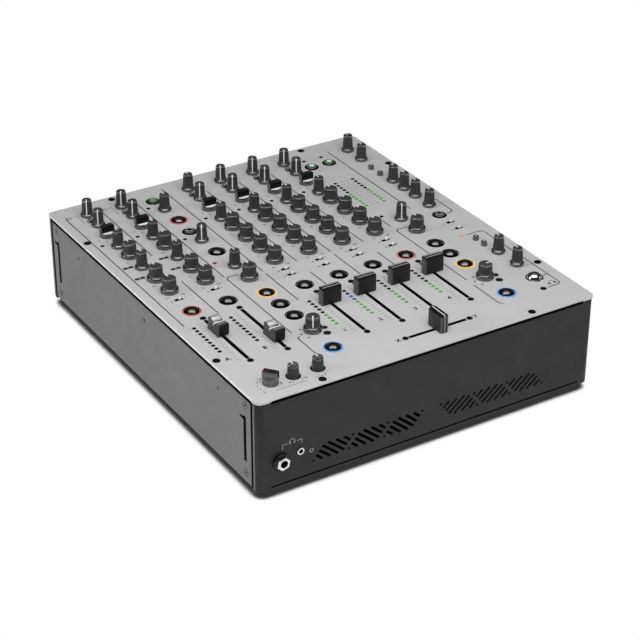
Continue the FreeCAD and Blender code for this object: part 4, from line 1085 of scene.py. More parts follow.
class MIXER_OT_print(bpy.types.Operator):
    """Prints the lines, scales, numbers and letters on the fascia"""

    bl_idname = "mixer.print"
    bl_label = "Print"

    def execute(self, context):
        looks = context.scene.mixer_print
        ink = Ink(TOP - 0.02, TOP + looks.thickness)
        for run in PRINTED_LINES:
            ink.line(run, looks.line)
        for name in OUTER:
            ink.text(name.upper(), COLUMNS[name] - 12, -116.5, NAME_SIZE)
        for name in INNER:
            ink.text(name, COLUMNS[name] - 11.3, -126, NAME_SIZE)
        ink.text("X", -18, -161.7, NAME_SIZE)
        ink.text("Y", 56, -161.7, NAME_SIZE)
        for x, y in ((-67, -112.8), (100.5, -113)):
            for dx, dy, radius in SWEEP_DOTS:
                ink.shape(disc(radius, x + dx, y + dy))
        self.knob_scales(ink)
        self.fader_scales(ink)
        self.label_boxes(ink)
        self.front_corner(ink)
        new_piece("fascia_print", ink.mesh, [dark_ink(), pale_ink(), pointer_white()])
        return {"FINISHED"}

    def knob_scales(self, ink):
        """Ticks at the ends and middle of each fixed knob's turn, and round the slim knobs that turn."""
        first, last, length = -60, 240, 1.6
        for node, reach in (("eq_knobs", 10.0), ("level_knobs", 7.6)):
            for place in places(node):
                for angle in (first, last, (first + last) // 2):
                    way = heading(angle)
                    ink.line([place.xy + way * reach, place.xy + way * (reach + length)], 0.4)
        for node in TURNING_SLIM:
            place = middle(node_box(node))
            for step in range(11):
                way = heading(last - 30 * step)
                ink.line([place.xy + way * 7.8, place.xy + way * 9.2], 0.35)

    def fader_scales(self, ink):
        """Pale lines between each meter and its fader slot, longer at the front, and beside the mix meter."""
        bottom, zero, top, mark = 45, 76.5, 108, 2.6
        tick, lamp_tick = 3.94, 10.4
        for place in places("indicator_leds"):
            for column, way in MIX_COLUMNS:
                if abs(place.x - column) < 1 and bottom < place.y < top:
                    ink.line([(place.x + way * 3.4, place.y), (place.x + way * 4.8, place.y)], 0.5, PALE)
                    level = str(abs(round((place.y - zero) / mark)))
                    ink.text(level, place.x + way * 7.0, place.y, 1.8, PALE)
        for name in OUTER + INNER:
            first, slot, lamp = (-57.5, 5.2, 12.0) if name in OUTER else (-68.0, 4.8, 11.5)
            x = COLUMNS[name] - slot
            for step in range(17):
                y = first - tick * step
                reach = 3.0 if step < 15 else 4.2
                ink.line([(x - reach / 2, y), (x + reach / 2, y)], 0.55, PALE)
            x = COLUMNS[name] - lamp
            for step in range(5):
                y = first + 6.5 - lamp_tick * step
                ink.line([(x - 4.4, y), (x - 2.6, y)], 0.5, PALE)

    def label_boxes(self, ink):
        """Plates and letters of the outer channels, and figures by the knobs, selectors and switches."""
        for name in OUTER:
            x = COLUMNS[name]
            for y in (56.0, 34.4):
                ink.shape(rounded(9.0, 3.2, 0.5, x - 10.7, y))
                lettering(ink.mesh, "1", x - 10.7, y, 2.0, ink.high - 0.01, ink.high + 0.03, WHITE)
            left, right, low, high = x - 17.2, x - 12.2, 162.5, 166.5
            ink.line([(left, low), (left, high), (right, high), (right, low), (left - 0.3, low)], 0.45)
            ink.text(name.upper(), x - 14.7, 164.5, 2.4)
            ink.line([(x - 11.2, 165), (x - 5.8, 165), (x - 5.8, 149.5)], 0.4)
        for place in places("eq_knobs"):
            ink.text("0", place.x - 7.4, place.y - 9.6, FIGURE_SIZE)
            ink.text("10", place.x + 7.4, place.y - 9.6, FIGURE_SIZE)
        for place in places("source_selectors"):
            for step, label in enumerate("1234"):
                angle = math.radians(150 - 40 * step)
                spot = place.x - 10.5 * math.cos(angle) - 1, place.y - 10.5 * math.sin(angle)
                ink.text(label, *spot, FIGURE_SIZE)
        for place in places("slide_switches"):
            ink.text("0", place.x - 6.6, place.y - 0.6, 2.0)
            ink.text("1", place.x + 6.2, place.y + 0.6, 2.0)

    def front_corner(self, ink):
        """Dots, numbers and a bracket in the left front corner, and a headphone sign in the right one."""
        for x, y in ((-144.0, -158.2), (-146.4, -163.1), (-146.2, -167.7)):
            ink.shape(disc(0.6, x, y, 12))
        for label, x, y in (("1", -139.3, -155.1), ("2", -146.0, -172.5), ("3", -128.4, -167.9)):
            ink.text(label, x, y, 2.0)
        ink.line([(149, -133.9), (143.8, -135.3)], 0.8)
        ink.headphones(142.8, -148.6, (2.9, 3.0), 0.4, (2.0, 2.6, 0.5), 2.8)
        ink.line([(-137.4, -175), (-110.5, -175)], 0.4)
        ink.line([(-103.5, -175), (-93, -175), (-92, -171.3)], 0.4)
        ink.text("0", -122.5, -171, FIGURE_SIZE)
        ink.text("10", -108.5, -171, FIGURE_SIZE)


class MIXER_OT_screws(bpy.types.Operator):
    """Makes the round screw heads of the fascia, the faders, the sides and the front"""

    bl_idname = "mixer.screws"
    bl_label = "Screws"

    def execute(self, context):
        thin = 1.0
        flat, ringed = bmesh.new(), bmesh.new()
        for box in islands("screws"):
            size, place = box[1] - box[0], middle(box)
            radius = max(size) / 2
            if size.z < thin:
                stamp(flat, self.top_head(radius), at(place.x, place.y))
            elif size.x < thin:
                outer, way = (box[0].x, QUARTER) if place.x > 0 else (box[1].x, -QUARTER)
                turn = Matrix.Rotation(way, 4, "Y")
                stamp(ringed, self.panel_head(radius), Matrix.Translation((outer, place.y, place.z)) @ turn)
            else:
                wider = Matrix.Diagonal((1.3, 1.3, 1.0, 1.0))
                stamp(ringed, self.panel_head(radius), frontward(place.x, box[1].y, place.z) @ wider)
        new_piece("top_screws", flat, [black_screw()], replaced=["screws"])
        new_piece("panel_screws", ringed, [dull_metal(), black_screw()])
        return {"FINISHED"}

    def top_head(self, radius):
        rim = radius * 1.22
        return turned("head", [
            (0, -0.2), (rim, -0.02), (rim, 0.12), (rim - 0.3, 0.4), (radius * 0.5, 0.5),
            (radius * 0.42, 0.15), (0, 0.1),
        ], 24)

    def panel_head(self, radius):
        """A black head with a bright ring in it."""
        bright = 0
        return turned("head", [
            (0, -0.1), (radius, -0.1), (radius, 0.2), (radius - 0.45, 0.32), (radius - 0.55, 0.1),
            (radius * 0.72, 0.1, 0, bright), (radius * 0.66, 0.3, 0, bright), (radius * 0.4, 0.3, 0, bright),
            (radius * 0.34, 0.0), (0, 0.0),
        ], 24, 1)


class MIXER_OT_fixed_knobs(bpy.types.Operator):
    """Makes the tone knobs, the level knobs, the selectors and the trimmers that stay with the case"""

    bl_idname = "mixer.fixed_knobs"
    bl_label = "Knobs of the strips"

    def execute(self, context):
        bm = bmesh.new()
        stamp_each(bm, fat_knob("notch"), places("eq_knobs"), BACK)
        new_piece("tone_knobs", bm, knob_finishes(), replaced=["eq_knobs"])
        self.level_knobs()
        bm = bmesh.new()
        stamp_each(bm, selector_knob(), places("source_selectors"))
        # White scoops as a painted highlight and black grip faces as painted shade.
        finishes = [knob_grey(), tick_red(), scoop_silver(), saddle_black()]
        new_piece("selector_knobs", bm, finishes, replaced=["source_selectors"])
        bm = bmesh.new()
        for box in islands("trim_knobs"):
            stamp_each(bm, trim_cap(box[1].z - box[0].z), [middle(box)], BACK)
        finishes = [knob_grey(), pointer_white()]
        new_piece("trimmers", bm, finishes, replaced=["trim_knobs"])
        return {"FINISHED"}

    def level_knobs(self):
        """Slim knobs with a notch or, on the sends and some others, a full line; the low ones are short."""
        lined, notched, short = slim_knob("line"), slim_knob("notch"), short_knob()
        bm = bmesh.new()
        for box in islands("level_knobs"):
            place = middle(box)
            send = place.y > SEND_ROW and place.x < SEND_END
            plain = any(near(place, *spot) for spot in NOTCHED_SENDS)
            if box[1].z - box[0].z < SHORT_LIMIT:
                stamp_each(bm, short, [place], BACK)
            elif (send and not plain) or any(near(place, *spot) for spot in LINED_LEVELS):
                stamp_each(bm, lined, [place], VIEWER)
            else:
                stamp_each(bm, notched, [place], BACK)
        new_piece("slim_knobs", bm, knob_finishes(), replaced=["level_knobs"])


class MIXER_OT_turning_knobs(bpy.types.Operator):
    """Makes the knobs that turn: filters, master, headphones and the crossfader curve"""

    bl_idname = "mixer.turning_knobs"
    bl_label = "Turning knobs"

    def execute(self, context):
        for node, (mark, way) in TURNING_FAT.items():
            self.cap(node, fat_knob(mark), FAT_HEIGHT, way, knob_finishes())
        for node in TURNING_SLIM:
            self.cap(node, slim_knob("notch"), SLIM_HEIGHT, BACK, knob_finishes())
        # The curve selector's scoops and grip faces take a grey metal as painted reflection, where the fixed
        # selectors take white and black.
        finishes = [knob_grey(), tick_red(), selector_grey(), selector_grey()]
        self.cap("curve_selector", selector_knob(), SELECTOR_HEIGHT, CURVE_TURN, finishes)
        return {"FINISHED"}

    def cap(self, node, shape, height, way, finishes):
        """A knob with its shaft below it."""
        low, high = node_box(node)
        place, foot = (low + high) / 2, high.z - height
        radius, end = 2.9, foot + 0.5
        shaft = turned("shaft", [
            (0, low.z), (radius - 0.2, low.z), (radius, low.z + 0.2), (radius, end), (0, end),
        ], 24)
        parts = [(shape, at(place.x, place.y, foot, way)), (shaft, at(place.x, place.y, 0))]
        new_cap(node, parts, finishes)


class MIXER_OT_buttons(bpy.types.Operator):
    """Makes the domed buttons with their lit or dark rings, and the small buttons in their cones"""

    bl_idname = "mixer.buttons"
    bl_label = "Buttons"

    def execute(self, context):
        spots = {}
        for node in DOME_BUTTONS:
            colour = "chrome" if node == CHROME_BUTTON else LIT_DOMES.get(node, "dark")
            spots.setdefault(colour, []).append(middle(node_box(node)))
            self.dome(node)
        rims = {"chrome": bright_metal, "dark": track_black}
        for colour in spots:
            if colour not in rims:
                self.glow(colour, spots[colour])
        for colour in spots:
            bm = bmesh.new()
            stamp_each(bm, self.flange(), spots[colour])
            rim = rims[colour]() if colour in rims else tinted(colour)
            new_piece(f"button_rings_{colour}", bm, [rim, track_black()])
        self.cones()
        for node in SMALL_BUTTONS:
            self.small_cap(node)
        return {"FINISHED"}

    def levels(self, node):
        """A button's middle, and its foot and top above the fascia."""
        low, high = node_box(node)
        return (low + high) / 2, low.z - TOP, high.z - TOP

    def flange(self):
        return turned("flange", [
            (6.75, -1.0), (7.7, -0.02), (7.75, 0.2), (7.6, 0.42), (7.3, 0.5), (6.9, 0.45), (6.75, 0.3),
            (6.75, -1.0, 0, 1),
        ], 40)

    def glow(self, colour, spots):
        """Three thin rings of light on the fascia that fade outward from each lit button."""
        bm = bmesh.new()
        low = 0.02
        for index, (inner, outer, high) in enumerate(((7.2, 7.7, 0.52), (7.7, 8.1, 0.05), (8.1, 8.7, 0.05))):
            profile = [(inner, low), (outer, low), (outer, high), (inner, high), (inner, low)]
            stamp_each(bm, turned("glow", profile, 40, index), spots)
        finishes = [halo(colour, alpha) for alpha in (0.8, 0.45, 0.12)]
        new_piece(f"button_glow_{colour}", bm, finishes)

    def dome(self, node):
        """A matt wall under a glossy crown, or a cap that is bright all over."""
        place, foot, rise = self.levels(node)
        apex, curve = rise + 1.0, 8.0
        tilts = [math.radians(42 - 4 * step) for step in range(10)]
        crown = [(curve * math.sin(tilt), apex - curve * (1 - math.cos(tilt)), 0, 1) for tilt in tilts]
        brim = crown[0][1]
        cap = turned("dome", [
            (0, foot), (2.0, foot), (2.0, -4.0), (6.2, -3.8), (6.3, -3.6), (6.3, 0.3), (6.2, 0.6),
            (5.6, brim - 0.2), *crown, (0, apex, 0, 1),
        ], 48)
        if node == CHROME_BUTTON:
            finishes = [bright_metal(), bright_metal()]
        else:
            finishes = [track_black(), button_black()]
        new_cap(node, [(cap, at(place.x, place.y))], finishes)

    def cones(self):
        pale = 1
        cone = turned("cone", [
            (3.35, -0.5), (6.5, -0.02), (6.6, 0.2), (6.4, 0.4), (4.8, 0.7), (4.5, 0.9, 0, pale),
            (3.9, 1.9, 0, pale), (3.75, 2.15, 0, pale), (3.5, 2.2, 0, pale), (3.35, 2.0, 0, pale),
            (3.35, -0.5),
        ], 36)
        bm = bmesh.new()
        stamp_each(bm, cone, places("button_bezels"))
        finishes = [track_black(), selector_grey()]
        new_piece("button_cones", bm, finishes, replaced=["button_bezels"])

    def small_cap(self, node):
        """A bright rim round a small window, lit or dark."""
        place, foot, rise = self.levels(node)
        rim, window = 0, 1
        cap = turned("cap", [
            (0, foot), (1.6, foot), (1.6, -4), (2.9, -3.8), (2.95, rise - 1.3), (2.9, rise - 1.0, 0, rim),
            (2.75, rise - 0.85, 0, rim), (2.6, rise - 0.9, 0, rim), (2.5, rise - 1.15, 0, rim),
            (2.4, rise - 1.2), (2.2, rise - 1.2), (2.1, rise - 1.15, 0, window),
            (1.2, rise - 0.95, 0, window), (0, rise - 0.9, 0, window),
        ], 28, 2)
        pane = light(LIT_SMALL[node]) if node in LIT_SMALL else lamp_dark()
        finishes = [cap_silver(), pane, button_black()]
        new_cap(node, [(cap, at(place.x, place.y))], finishes)


class MIXER_OT_faders(bpy.types.Operator):
    """Makes the slab caps, the saddle caps and the crossfader cap"""

    bl_idname = "mixer.faders"
    bl_label = "Faders"

    def execute(self, context):
        for node in SLAB_FADERS:
            self.cap(node, self.slab(node, False), [cap_black(), *self.slab_trim()])
        # The crossfader's lighter grey is painted light.
        self.cap("crossfader", self.slab("crossfader", True), [cap_grey(), *self.slab_trim()], QUARTER)
        finishes = [saddle_black(), pointer_white(), cap_silver(), button_black(), knob_top(), knob_rim()]
        for node in SADDLE_FADERS:
            self.cap(node, self.saddle(node), finishes)
        return {"FINISHED"}

    # The white line, then painted light for the ends, painted shade for the grooves and a painted highlight
    # for the ridges.
    def slab_trim(self):
        return [pointer_white(), cap_rib(), saddle_black(), scale_grey()]

    def height(self, node):
        return node_box(node)[1].z - TOP - CAP_LIFT

    def cap(self, node, shape, finishes, turn=0.0):
        """A cap just above the fascia, on the blade that passes through its slot."""
        low, high = node_box(node)
        place, foot = (low + high) / 2, TOP + CAP_LIFT
        blade = bmesh.new()
        prism(blade, rounded(1.6, 7.0, 0.4), low.z, foot + 0.6)
        stem = template("stem", blade)
        parts = [(shape, at(place.x, place.y, foot, turn)), (stem, at(place.x, place.y, 0, turn))]
        new_cap(node, parts, finishes)

    def slab_section(self, height):
        """The outline across a slab: two walls with grip ridges between them."""
        count = bpy.context.scene.mixer_faders.ridges
        side = [(3.4, 0.0), (3.5, 0.8), (3.5, 3.0), (3.46, 12.2), (3.42, 13.8), (3.35, height - 0.6)]
        section = [(-y, z) for y, z in side]
        ridge = [(0.2, -0.6), (0.26, 0), (0.66, 0), (0.72, -0.6), (0.8, -0.9), (1.1, -0.9)]
        pitch = 6.2 / count
        for step in range(count):
            y = -3.1 + pitch * step
            section += [(y + pitch * share, height + rise) for share, rise in ridge]
        return section[:-2] + side[::-1]

    def slab(self, node, marked):
        """A slab with grooves along its top and rounded ends; the marked one has a white line. On the
        unmarked ones the ridge tops are paler as a painted highlight; the grooves are darker as painted shade
        and the ends lighter as painted light. The marked one's ends have a pale strip between two dark
        strips, painted highlight and shade standing for grooves.
        """
        line, lit_end, groove_shade, pale = 1, 2, 3, 4
        height = self.height(node)
        section = self.slab_section(height)
        rings = []
        for x, inset in ((-9.2, 0.9), (-9.0, 0.4), (-8.5, 0.0), (8.5, 0.0), (9.0, 0.4), (9.2, 0.9)):
            rings.append([(x, y * (1 - inset * 0.2), z - inset if z > height / 2 else z) for y, z in section])
        bm = bmesh.new()
        # Paler ridge tops as a painted highlight, lighter ends as painted light, darker grooves as painted
        # shade.
        for face in loft(bm, rings):
            spot = face.calc_center_median()
            if spot.z > height - 0.12 and not marked:
                face.material_index = pale
            elif abs(spot.x) > 8.4 and spot.z < height - 2:
                face.material_index = lit_end
            elif spot.z > height - 1.3:
                face.material_index = groove_shade
        if marked:
            prism(bm, rounded(17.6, 0.65, 0.2), height - 1.0, height + 0.05, line)
            # A pale strip between two dark strips on each end, as painted highlight and shade of grooves.
            for end in (-9.2, 9.2):
                for y, drop, finish in ((0, 1.0, pale), (-1.35, 1.8, groove_shade), (1.35, 1.8, groove_shade)):
                    prism(bm, rounded(0.3, 0.9, 0.1, end, y), 1.2, height - drop, finish)
        return template("slab", bm)

    def saddle_sections(self, top):
        """The outlines along a saddle cap: front block, back, silver lens and white line."""
        front = [
            (-1.0, 5.2), (-0.8, top - 3.0), (-2.4, top - 2.2), (-3.4, top - 1.2), (-4.4, top - 0.9),
            (-7.6, top - 0.9), (-8.8, top - 1.1), (-9.4, top - 1.7), (-9.3, 6.0), (-8.9, 1.2), (-1.0, 1.2),
        ]
        back = [
            (0.8, 5.0), (0.6, top - 3.0), (1.6, top - 2.3), (3.4, top - 0.7), (5.2, top), (7.2, top - 0.2),
            (8.8, top - 1.3), (9.3, 6.2), (8.4, 4.6),
        ]
        bows = [math.radians(10 + 16 * step) for step in range(10)]
        lens = [(4.9 - 3.6 * math.cos(a), top - 2.6 + 2.75 * math.sin(a)) for a in bows] + [(5.0, top - 3.4)]
        line = [(-0.55, 4.8), (-0.55, top - 2.8), (0.55, top - 2.8), (0.55, 4.8)]
        return front, back, lens, line

    def block(self, bm, section, half, finish):
        """A section drawn out to both sides, a little smaller at its ends."""
        end_share, ease = 0.92, 0.4
        count = len(section)
        centre = Vector((sum(y for y, _ in section) / count, sum(z for _, z in section) / count))
        rings = []
        for x, share in ((-half, end_share), (-half + ease, 1.0), (half - ease, 1.0), (half, end_share)):
            rings.append([
                (x, centre.x + (y - centre.x) * share, centre.y + (z - centre.y) * share) for y, z in section
            ])
        return loft(bm, rings, finish)

    def saddle(self, node):
        """A flared base, a black block in front, a white line and a rounded silver back; the base and the
        block's ends are a lighter grey as painted light on their lit sides, and the block's top a paler grey
        as a painted highlight.
        """
        black, stripe, silver, gloss, matt, painted_highlight = range(6)
        top, half = self.height(node), 4.7
        bm = bmesh.new()
        flare = ((9.8, 18.4, 0.4), (9.8, 18.4, 0.9), (9.4, 17.6, 2.4), (9.1, 17.2, 4.4), (9.1, 17.2, 6.4))
        loft(bm, [
            [(x, y, z) for x, y in rounded(width, length, 1.0, y=1.0)] for width, length, z in flare
        ], matt)
        front, back, lens, line = self.saddle_sections(top)
        # Painted light: grey ends and a pale top on the black front block.
        for face in self.block(bm, front, half, black):
            spot = face.calc_center_median()
            if abs(spot.x) > half - 0.3:
                face.material_index = matt
            elif spot.z > top - 1.0:
                face.material_index = painted_highlight
        self.block(bm, back, 4.5, gloss)
        self.block(bm, lens, 3.9, silver)
        self.block(bm, line, 4.3, stripe)
        return template("saddle", bm)


class MIXER_OT_lamps(bpy.types.Operator):
    """Makes the meter lamps and the status lights, lit or dark"""

    bl_idname = "mixer.lamps"
    bl_label = "Lamps"

    def execute(self, context):
        columns, groups, beads = {}, {}, {}
        for place in places("indicator_leds"):
            columns.setdefault(round(place.x, 1), []).append(place)
        for lamps in columns.values():
            lamps.sort(key=lambda place: -place.y)
            self.sort_column(lamps, groups)
        for colour, lamps in groups.items():
            bm = bmesh.new()
            for place, radius in lamps:
                if radius not in beads:
                    beads[radius] = self.bead(radius)
                stamp_each(bm, beads[radius], [place])
            material = lamp_dark() if colour == "dark" else light(colour)
            replaced = ["indicator_leds"] if colour == "dark" else []
            new_piece(f"lamps_{colour}", bm, [material], replaced=replaced)
        return {"FINISHED"}

    def bead(self, radius):
        return turned("bead", [
            (0, -0.2), (radius, -0.2), (radius, 0.15), (radius * 0.85, 0.38), (radius * 0.5, 0.48), (0, 0.5),
        ], 20)

    def sort_column(self, lamps, groups):
        """Meters are the runs of nine or eleven lamps in one column; the rest are single lights."""
        runs = [run for run in self.runs(lamps) if len(run) > 4]
        metered = [place for run in runs for place in run]
        for run in runs:
            states = MIX_METER if len(run) > 9 else METERS[self.channel(run[0].x)]
            for place, state in zip(run, states):
                groups.setdefault(LAMP_STATES[state], []).append((place, METER_RADIUS))
        for place in lamps:
            if place not in metered:
                colour = "ruby" if near(place, *RUBY_LIGHT) else "red" if near(place, *RED_LIGHT) else "dark"
                radius = SPLIT_RADIUS if near(place, *SPLIT_LIGHT) else STATUS_RADIUS
                groups.setdefault(colour, []).append((place, radius))

    def runs(self, lamps):
        run = []
        for place in lamps:
            if run and run[-1].y - place.y > LAMP_GAP:
                yield run
                run = []
            run.append(place)
        yield run

    def channel(self, x):
        return min(METERS, key=lambda name: abs(COLUMNS[name] - METER_SHIFT - x))


class MIXER_OT_switches(bpy.types.Operator):
    """Makes the slide switches: a dark frame with a pale lever"""

    bl_idname = "mixer.switches"
    bl_label = "Slide switches"

    def execute(self, context):
        surround, slot_shade, lever = range(3)
        bm = bmesh.new()
        prism(bm, rounded(7.4, 2.9, 0.5), -0.1, 0.35, surround)
        # A black plate in the frame, as painted shade for the lever's slot.
        prism(bm, rounded(6.4, 2.1, 0.4), 0.35, 0.45, slot_shade)
        loft(bm, [
            [(x, y, z) for x, y in rounded(width, 1.7, 0.3, 0.9)]
            for width, z in ((2.6, 0.4), (2.3, 1.9), (1.8, 2.2))
        ], lever)
        switch = template("switch", bm)
        bm = bmesh.new()
        stamp_each(bm, switch, places("slide_switches"))
        finishes = [socket_black(), track_black(), pointer_white()]
        new_piece("switch_levers", bm, finishes, replaced=["slide_switches"])
        return {"FINISHED"}


class MIXER_OT_headphone_sockets(bpy.types.Operator):
    """Makes the two headphone sockets in the front panel"""

    bl_idname = "mixer.headphone_sockets"
    bl_label = "Headphone sockets"

    def execute(self, context):
        face, wide = node_box("front_panel")[0].y, 10
        bm = bmesh.new()
        for box in islands("headphone_jacks"):
            place, depth, reach = middle(box), box[1].y - face, face - box[0].y
            shape = self.large(depth, reach) if box[1].x - box[0].x > wide else self.small(depth, reach)
            stamp(bm, shape, frontward(place.x, face, place.z))
        self.pictogram(face)
        finishes = [socket_black(), bright_metal()]
        new_piece("headphone_sockets", bm, finishes, replaced=["headphone_jacks"])
        return {"FINISHED"}

    def large(self, depth, reach):
        """A black collar with a bright nut and sleeve in it."""
        metal = 1
        floor = JACK_FLOOR - depth
        bm = bmesh.new()
        lathe(bm, [
            (0, -depth), (6.6, -depth), (6.6, -1), (7.2, -0.05), (7.2, 2.2), (6.7, 2.9), (5.4, 3.0),
            (5.2, 1.5), (3.5, 1.5), (3.4, floor), (0, floor),
        ], 40)
        rings = []
        for radius, z in ((6.0, 1.2), (6.0, reach - 0.5), (5.5, reach - 0.1), (3.6, reach - 0.1), (3.6, 1.2)):
            rings.append([(x, y, z) for x, y in disc(radius, sides=6, start=0.3)])
        loft(bm, rings + rings[:1], metal, capped=False)
        lathe(bm, [(3.3, 1.0), (3.9, 1.0), (3.9, reach), (3.3, reach), (3.3, 1.0)], 32, metal)
        return template("jack", bm)

    def small(self, depth, reach):
        metal = 1
        floor = JACK_FLOOR - depth
        return turned("jack", [
            (0, -depth), (3.6, -depth), (3.6, -0.5), (3.1, -0.05, 0, metal), (3.1, reach - 0.2, 0, metal),
            (2.9, reach, 0, metal), (1.95, reach, 0, metal), (1.85, reach - 0.3, 0, metal), (1.8, floor),
            (0, floor),
        ], 32)

    def pictogram(self, face):
        """A plain headphone sign in a bracket above the sockets."""
        ink = Ink(*PANEL_INK)
        ink.line([(-137.6, 39.7), (-137.6, 44.1), (-133.2, 44.1)], 0.55)
        ink.line([(-124.8, 44.1), (-120.4, 44.1), (-120.4, 41.1)], 0.55)
        ink.headphones(-129.0, 44.5, (2.5, 2.6), 0.55, (1.2, 2.0, 0.3), 2.0)
        bm = bmesh.new()
        stamp(bm, template("sign", ink.mesh), frontward(0, face, 0))
        new_piece("headphone_sign", bm, [scale_grey()])


class MIXER_OT_rear_sockets(bpy.types.Operator):
    """Finishes the sockets, the mains inlet and its rocker at the back"""

    bl_idname = "mixer.rear_sockets"
    bl_label = "Rear sockets"

    def execute(self, context):
        dress("mains_inlet", socket_black(), 0.4)
        dress("line_sockets", socket_black(), 0.3)
        dress("power_rocker", button_black(), 0.5)
        face = node_box("rear_panel")[1].y
        self.phono_terminals(face)
        self.contacts(face)
        return {"FINISHED"}

    def outward(self, x, y, z):
        return Matrix.Translation((x, y, z)) @ Matrix.Rotation(-QUARTER, 4, "X")

    def barrel(self, ring):
        """A phono socket with a coloured ring round its hole."""
        black = 0
        return turned("barrel", [
            (0, 0.6), (5.2, 0.6), (5.2, 1.5), (4.5, 1.8), (4.2, 2.0), (4.2, 5.3), (4.0, 5.5), (3.7, 5.5),
            (3.6, 5.0, 0, ring), (1.7, 5.0, 0, ring), (1.6, 4.8, 0, black), (1.5, 1.0, 0, black),
            (0, 1.0, 0, black),
        ], 32, 1)

    def plate(self):
        """A dark plate with a bright screw at each side."""
        bm = bmesh.new()
        for low, high in ((0, 0.7), (0.7, 0.9)):
            prism(bm, rounded(29, 29, 1.5), low, high)
        for x in (-12.3, 12.3):
            prism(bm, disc(1.4, x), 0.9, 1.2, 1)
        return template("plate", bm)

    def phono_terminals(self, face):
        """Numbered dark plates with metal barrels, ringed in red on one channel and white on the other."""
        red, white = self.barrel(2), self.barrel(3)
        plate = self.plate()
        bm, figures = bmesh.new(), bmesh.new()
        boxes, plate_width = islands("phono_sockets"), 20
        plates = [middle(box) for box in boxes if box[1].x - box[0].x > plate_width]
        plates.sort(key=lambda place: place.x)
        for number, place in enumerate(plates, 1):
            stamp(bm, plate, self.outward(place.x, face, place.z))
            lettering(figures, str(number), -place.x, place.z + 18, 4.0, *PANEL_INK)
        for box in boxes:
            place = middle(box)
            if box[1].x - box[0].x < plate_width:
                left = any(0 < centre.x - place.x < 10 for centre in plates)
                stamp(bm, white if left else red, self.outward(place.x, face, place.z))
        finishes = [socket_black(), bright_metal(), phono_red(), pointer_white()]
        new_piece("phono_terminals", bm, finishes, replaced=["phono_sockets"])
        turn = Matrix.Rotation(QUARTER * 2, 4, "Z") @ Matrix.Rotation(QUARTER, 4, "X")
        bm = bmesh.new()
        stamp(bm, template("figures", figures), Matrix.Translation((0, face, 0)) @ turn)
        new_piece("rear_figures", bm, [scale_grey()])

    def contacts(self, face):
        """Pins, rims and strips in the round outputs, the jacks, the data ports and the mains inlet."""
        jack_reach, output_reach, inlet_middle = 2.5, 1.5, 16.8
        bm = bmesh.new()
        for box in islands("line_sockets"):
            place, mouth = middle(box), box[1].y
            shape = bmesh.new()
            if mouth - face > jack_reach:
                self.rim(shape, 3.3, 4.6, -3, 0.3, 32)
            elif mouth - face > output_reach:
                self.pins(shape)
            else:
                self.data_contacts(shape, box[1].x - box[0].x)
            stamp(bm, template("contacts", shape), self.outward(place.x, mouth, place.z))
        low, high = node_box("mains_inlet")
        centre_x, centre_z = low.x + inlet_middle, (low.z + high.z) / 2
        for x, z in ((-7, -2), (0, 2), (7, -2)):
            blade = bmesh.new()
            prism(blade, rounded(2.0, 4.2, 0.6), -19.8, -5)
            stamp(bm, template("blade", blade), self.outward(centre_x + x, high.y, centre_z + z))
        finishes = [bright_metal(), socket_black(), contact_gold()]
        new_piece("rear_contacts", bm, finishes)

    def rim(self, bm, inner, outer, low, high, sides):
        """A ring with its outer lip eased."""
        ease = 0.3
        lathe(bm, [
            (inner, low), (outer, low), (outer, high), (outer - ease, high + ease),
            (inner + 0.2, high + ease), (inner, high), (inner, low),
        ], sides)

    def pins(self, bm):
        """The rim, three pins and two screws of a round output."""
        self.rim(bm, 9.3, 10.4, -6, 0.4, 40)
        pin = turned("pin", [(0, -16), (1.2, -16), (1.2, -4.6), (0.8, -4), (0, -3.9)], 16)
        for angle in (90, 210, 330):
            way = math.radians(angle)
            stamp(bm, pin, Matrix.Translation((4.6 * math.cos(way), 4.6 * math.sin(way), 0)))
        for x, z in ((-10.6, -13), (10.6, 13)):
            prism(bm, disc(1.5, x, z), -0.1, 0.4)

    def data_contacts(self, bm, width):
        """A tongue with four gold strips on top."""
        tongue, gold = 1, 2
        prism(bm, rounded(width - 7.5, 2.6, 0.3), -13, -2, tongue)
        for step in range(4):
            prism(bm, rounded(0.6, 0.3, 0.1, (step - 1.5) * 1.2, -1.4), -12.5, -2.4, gold)


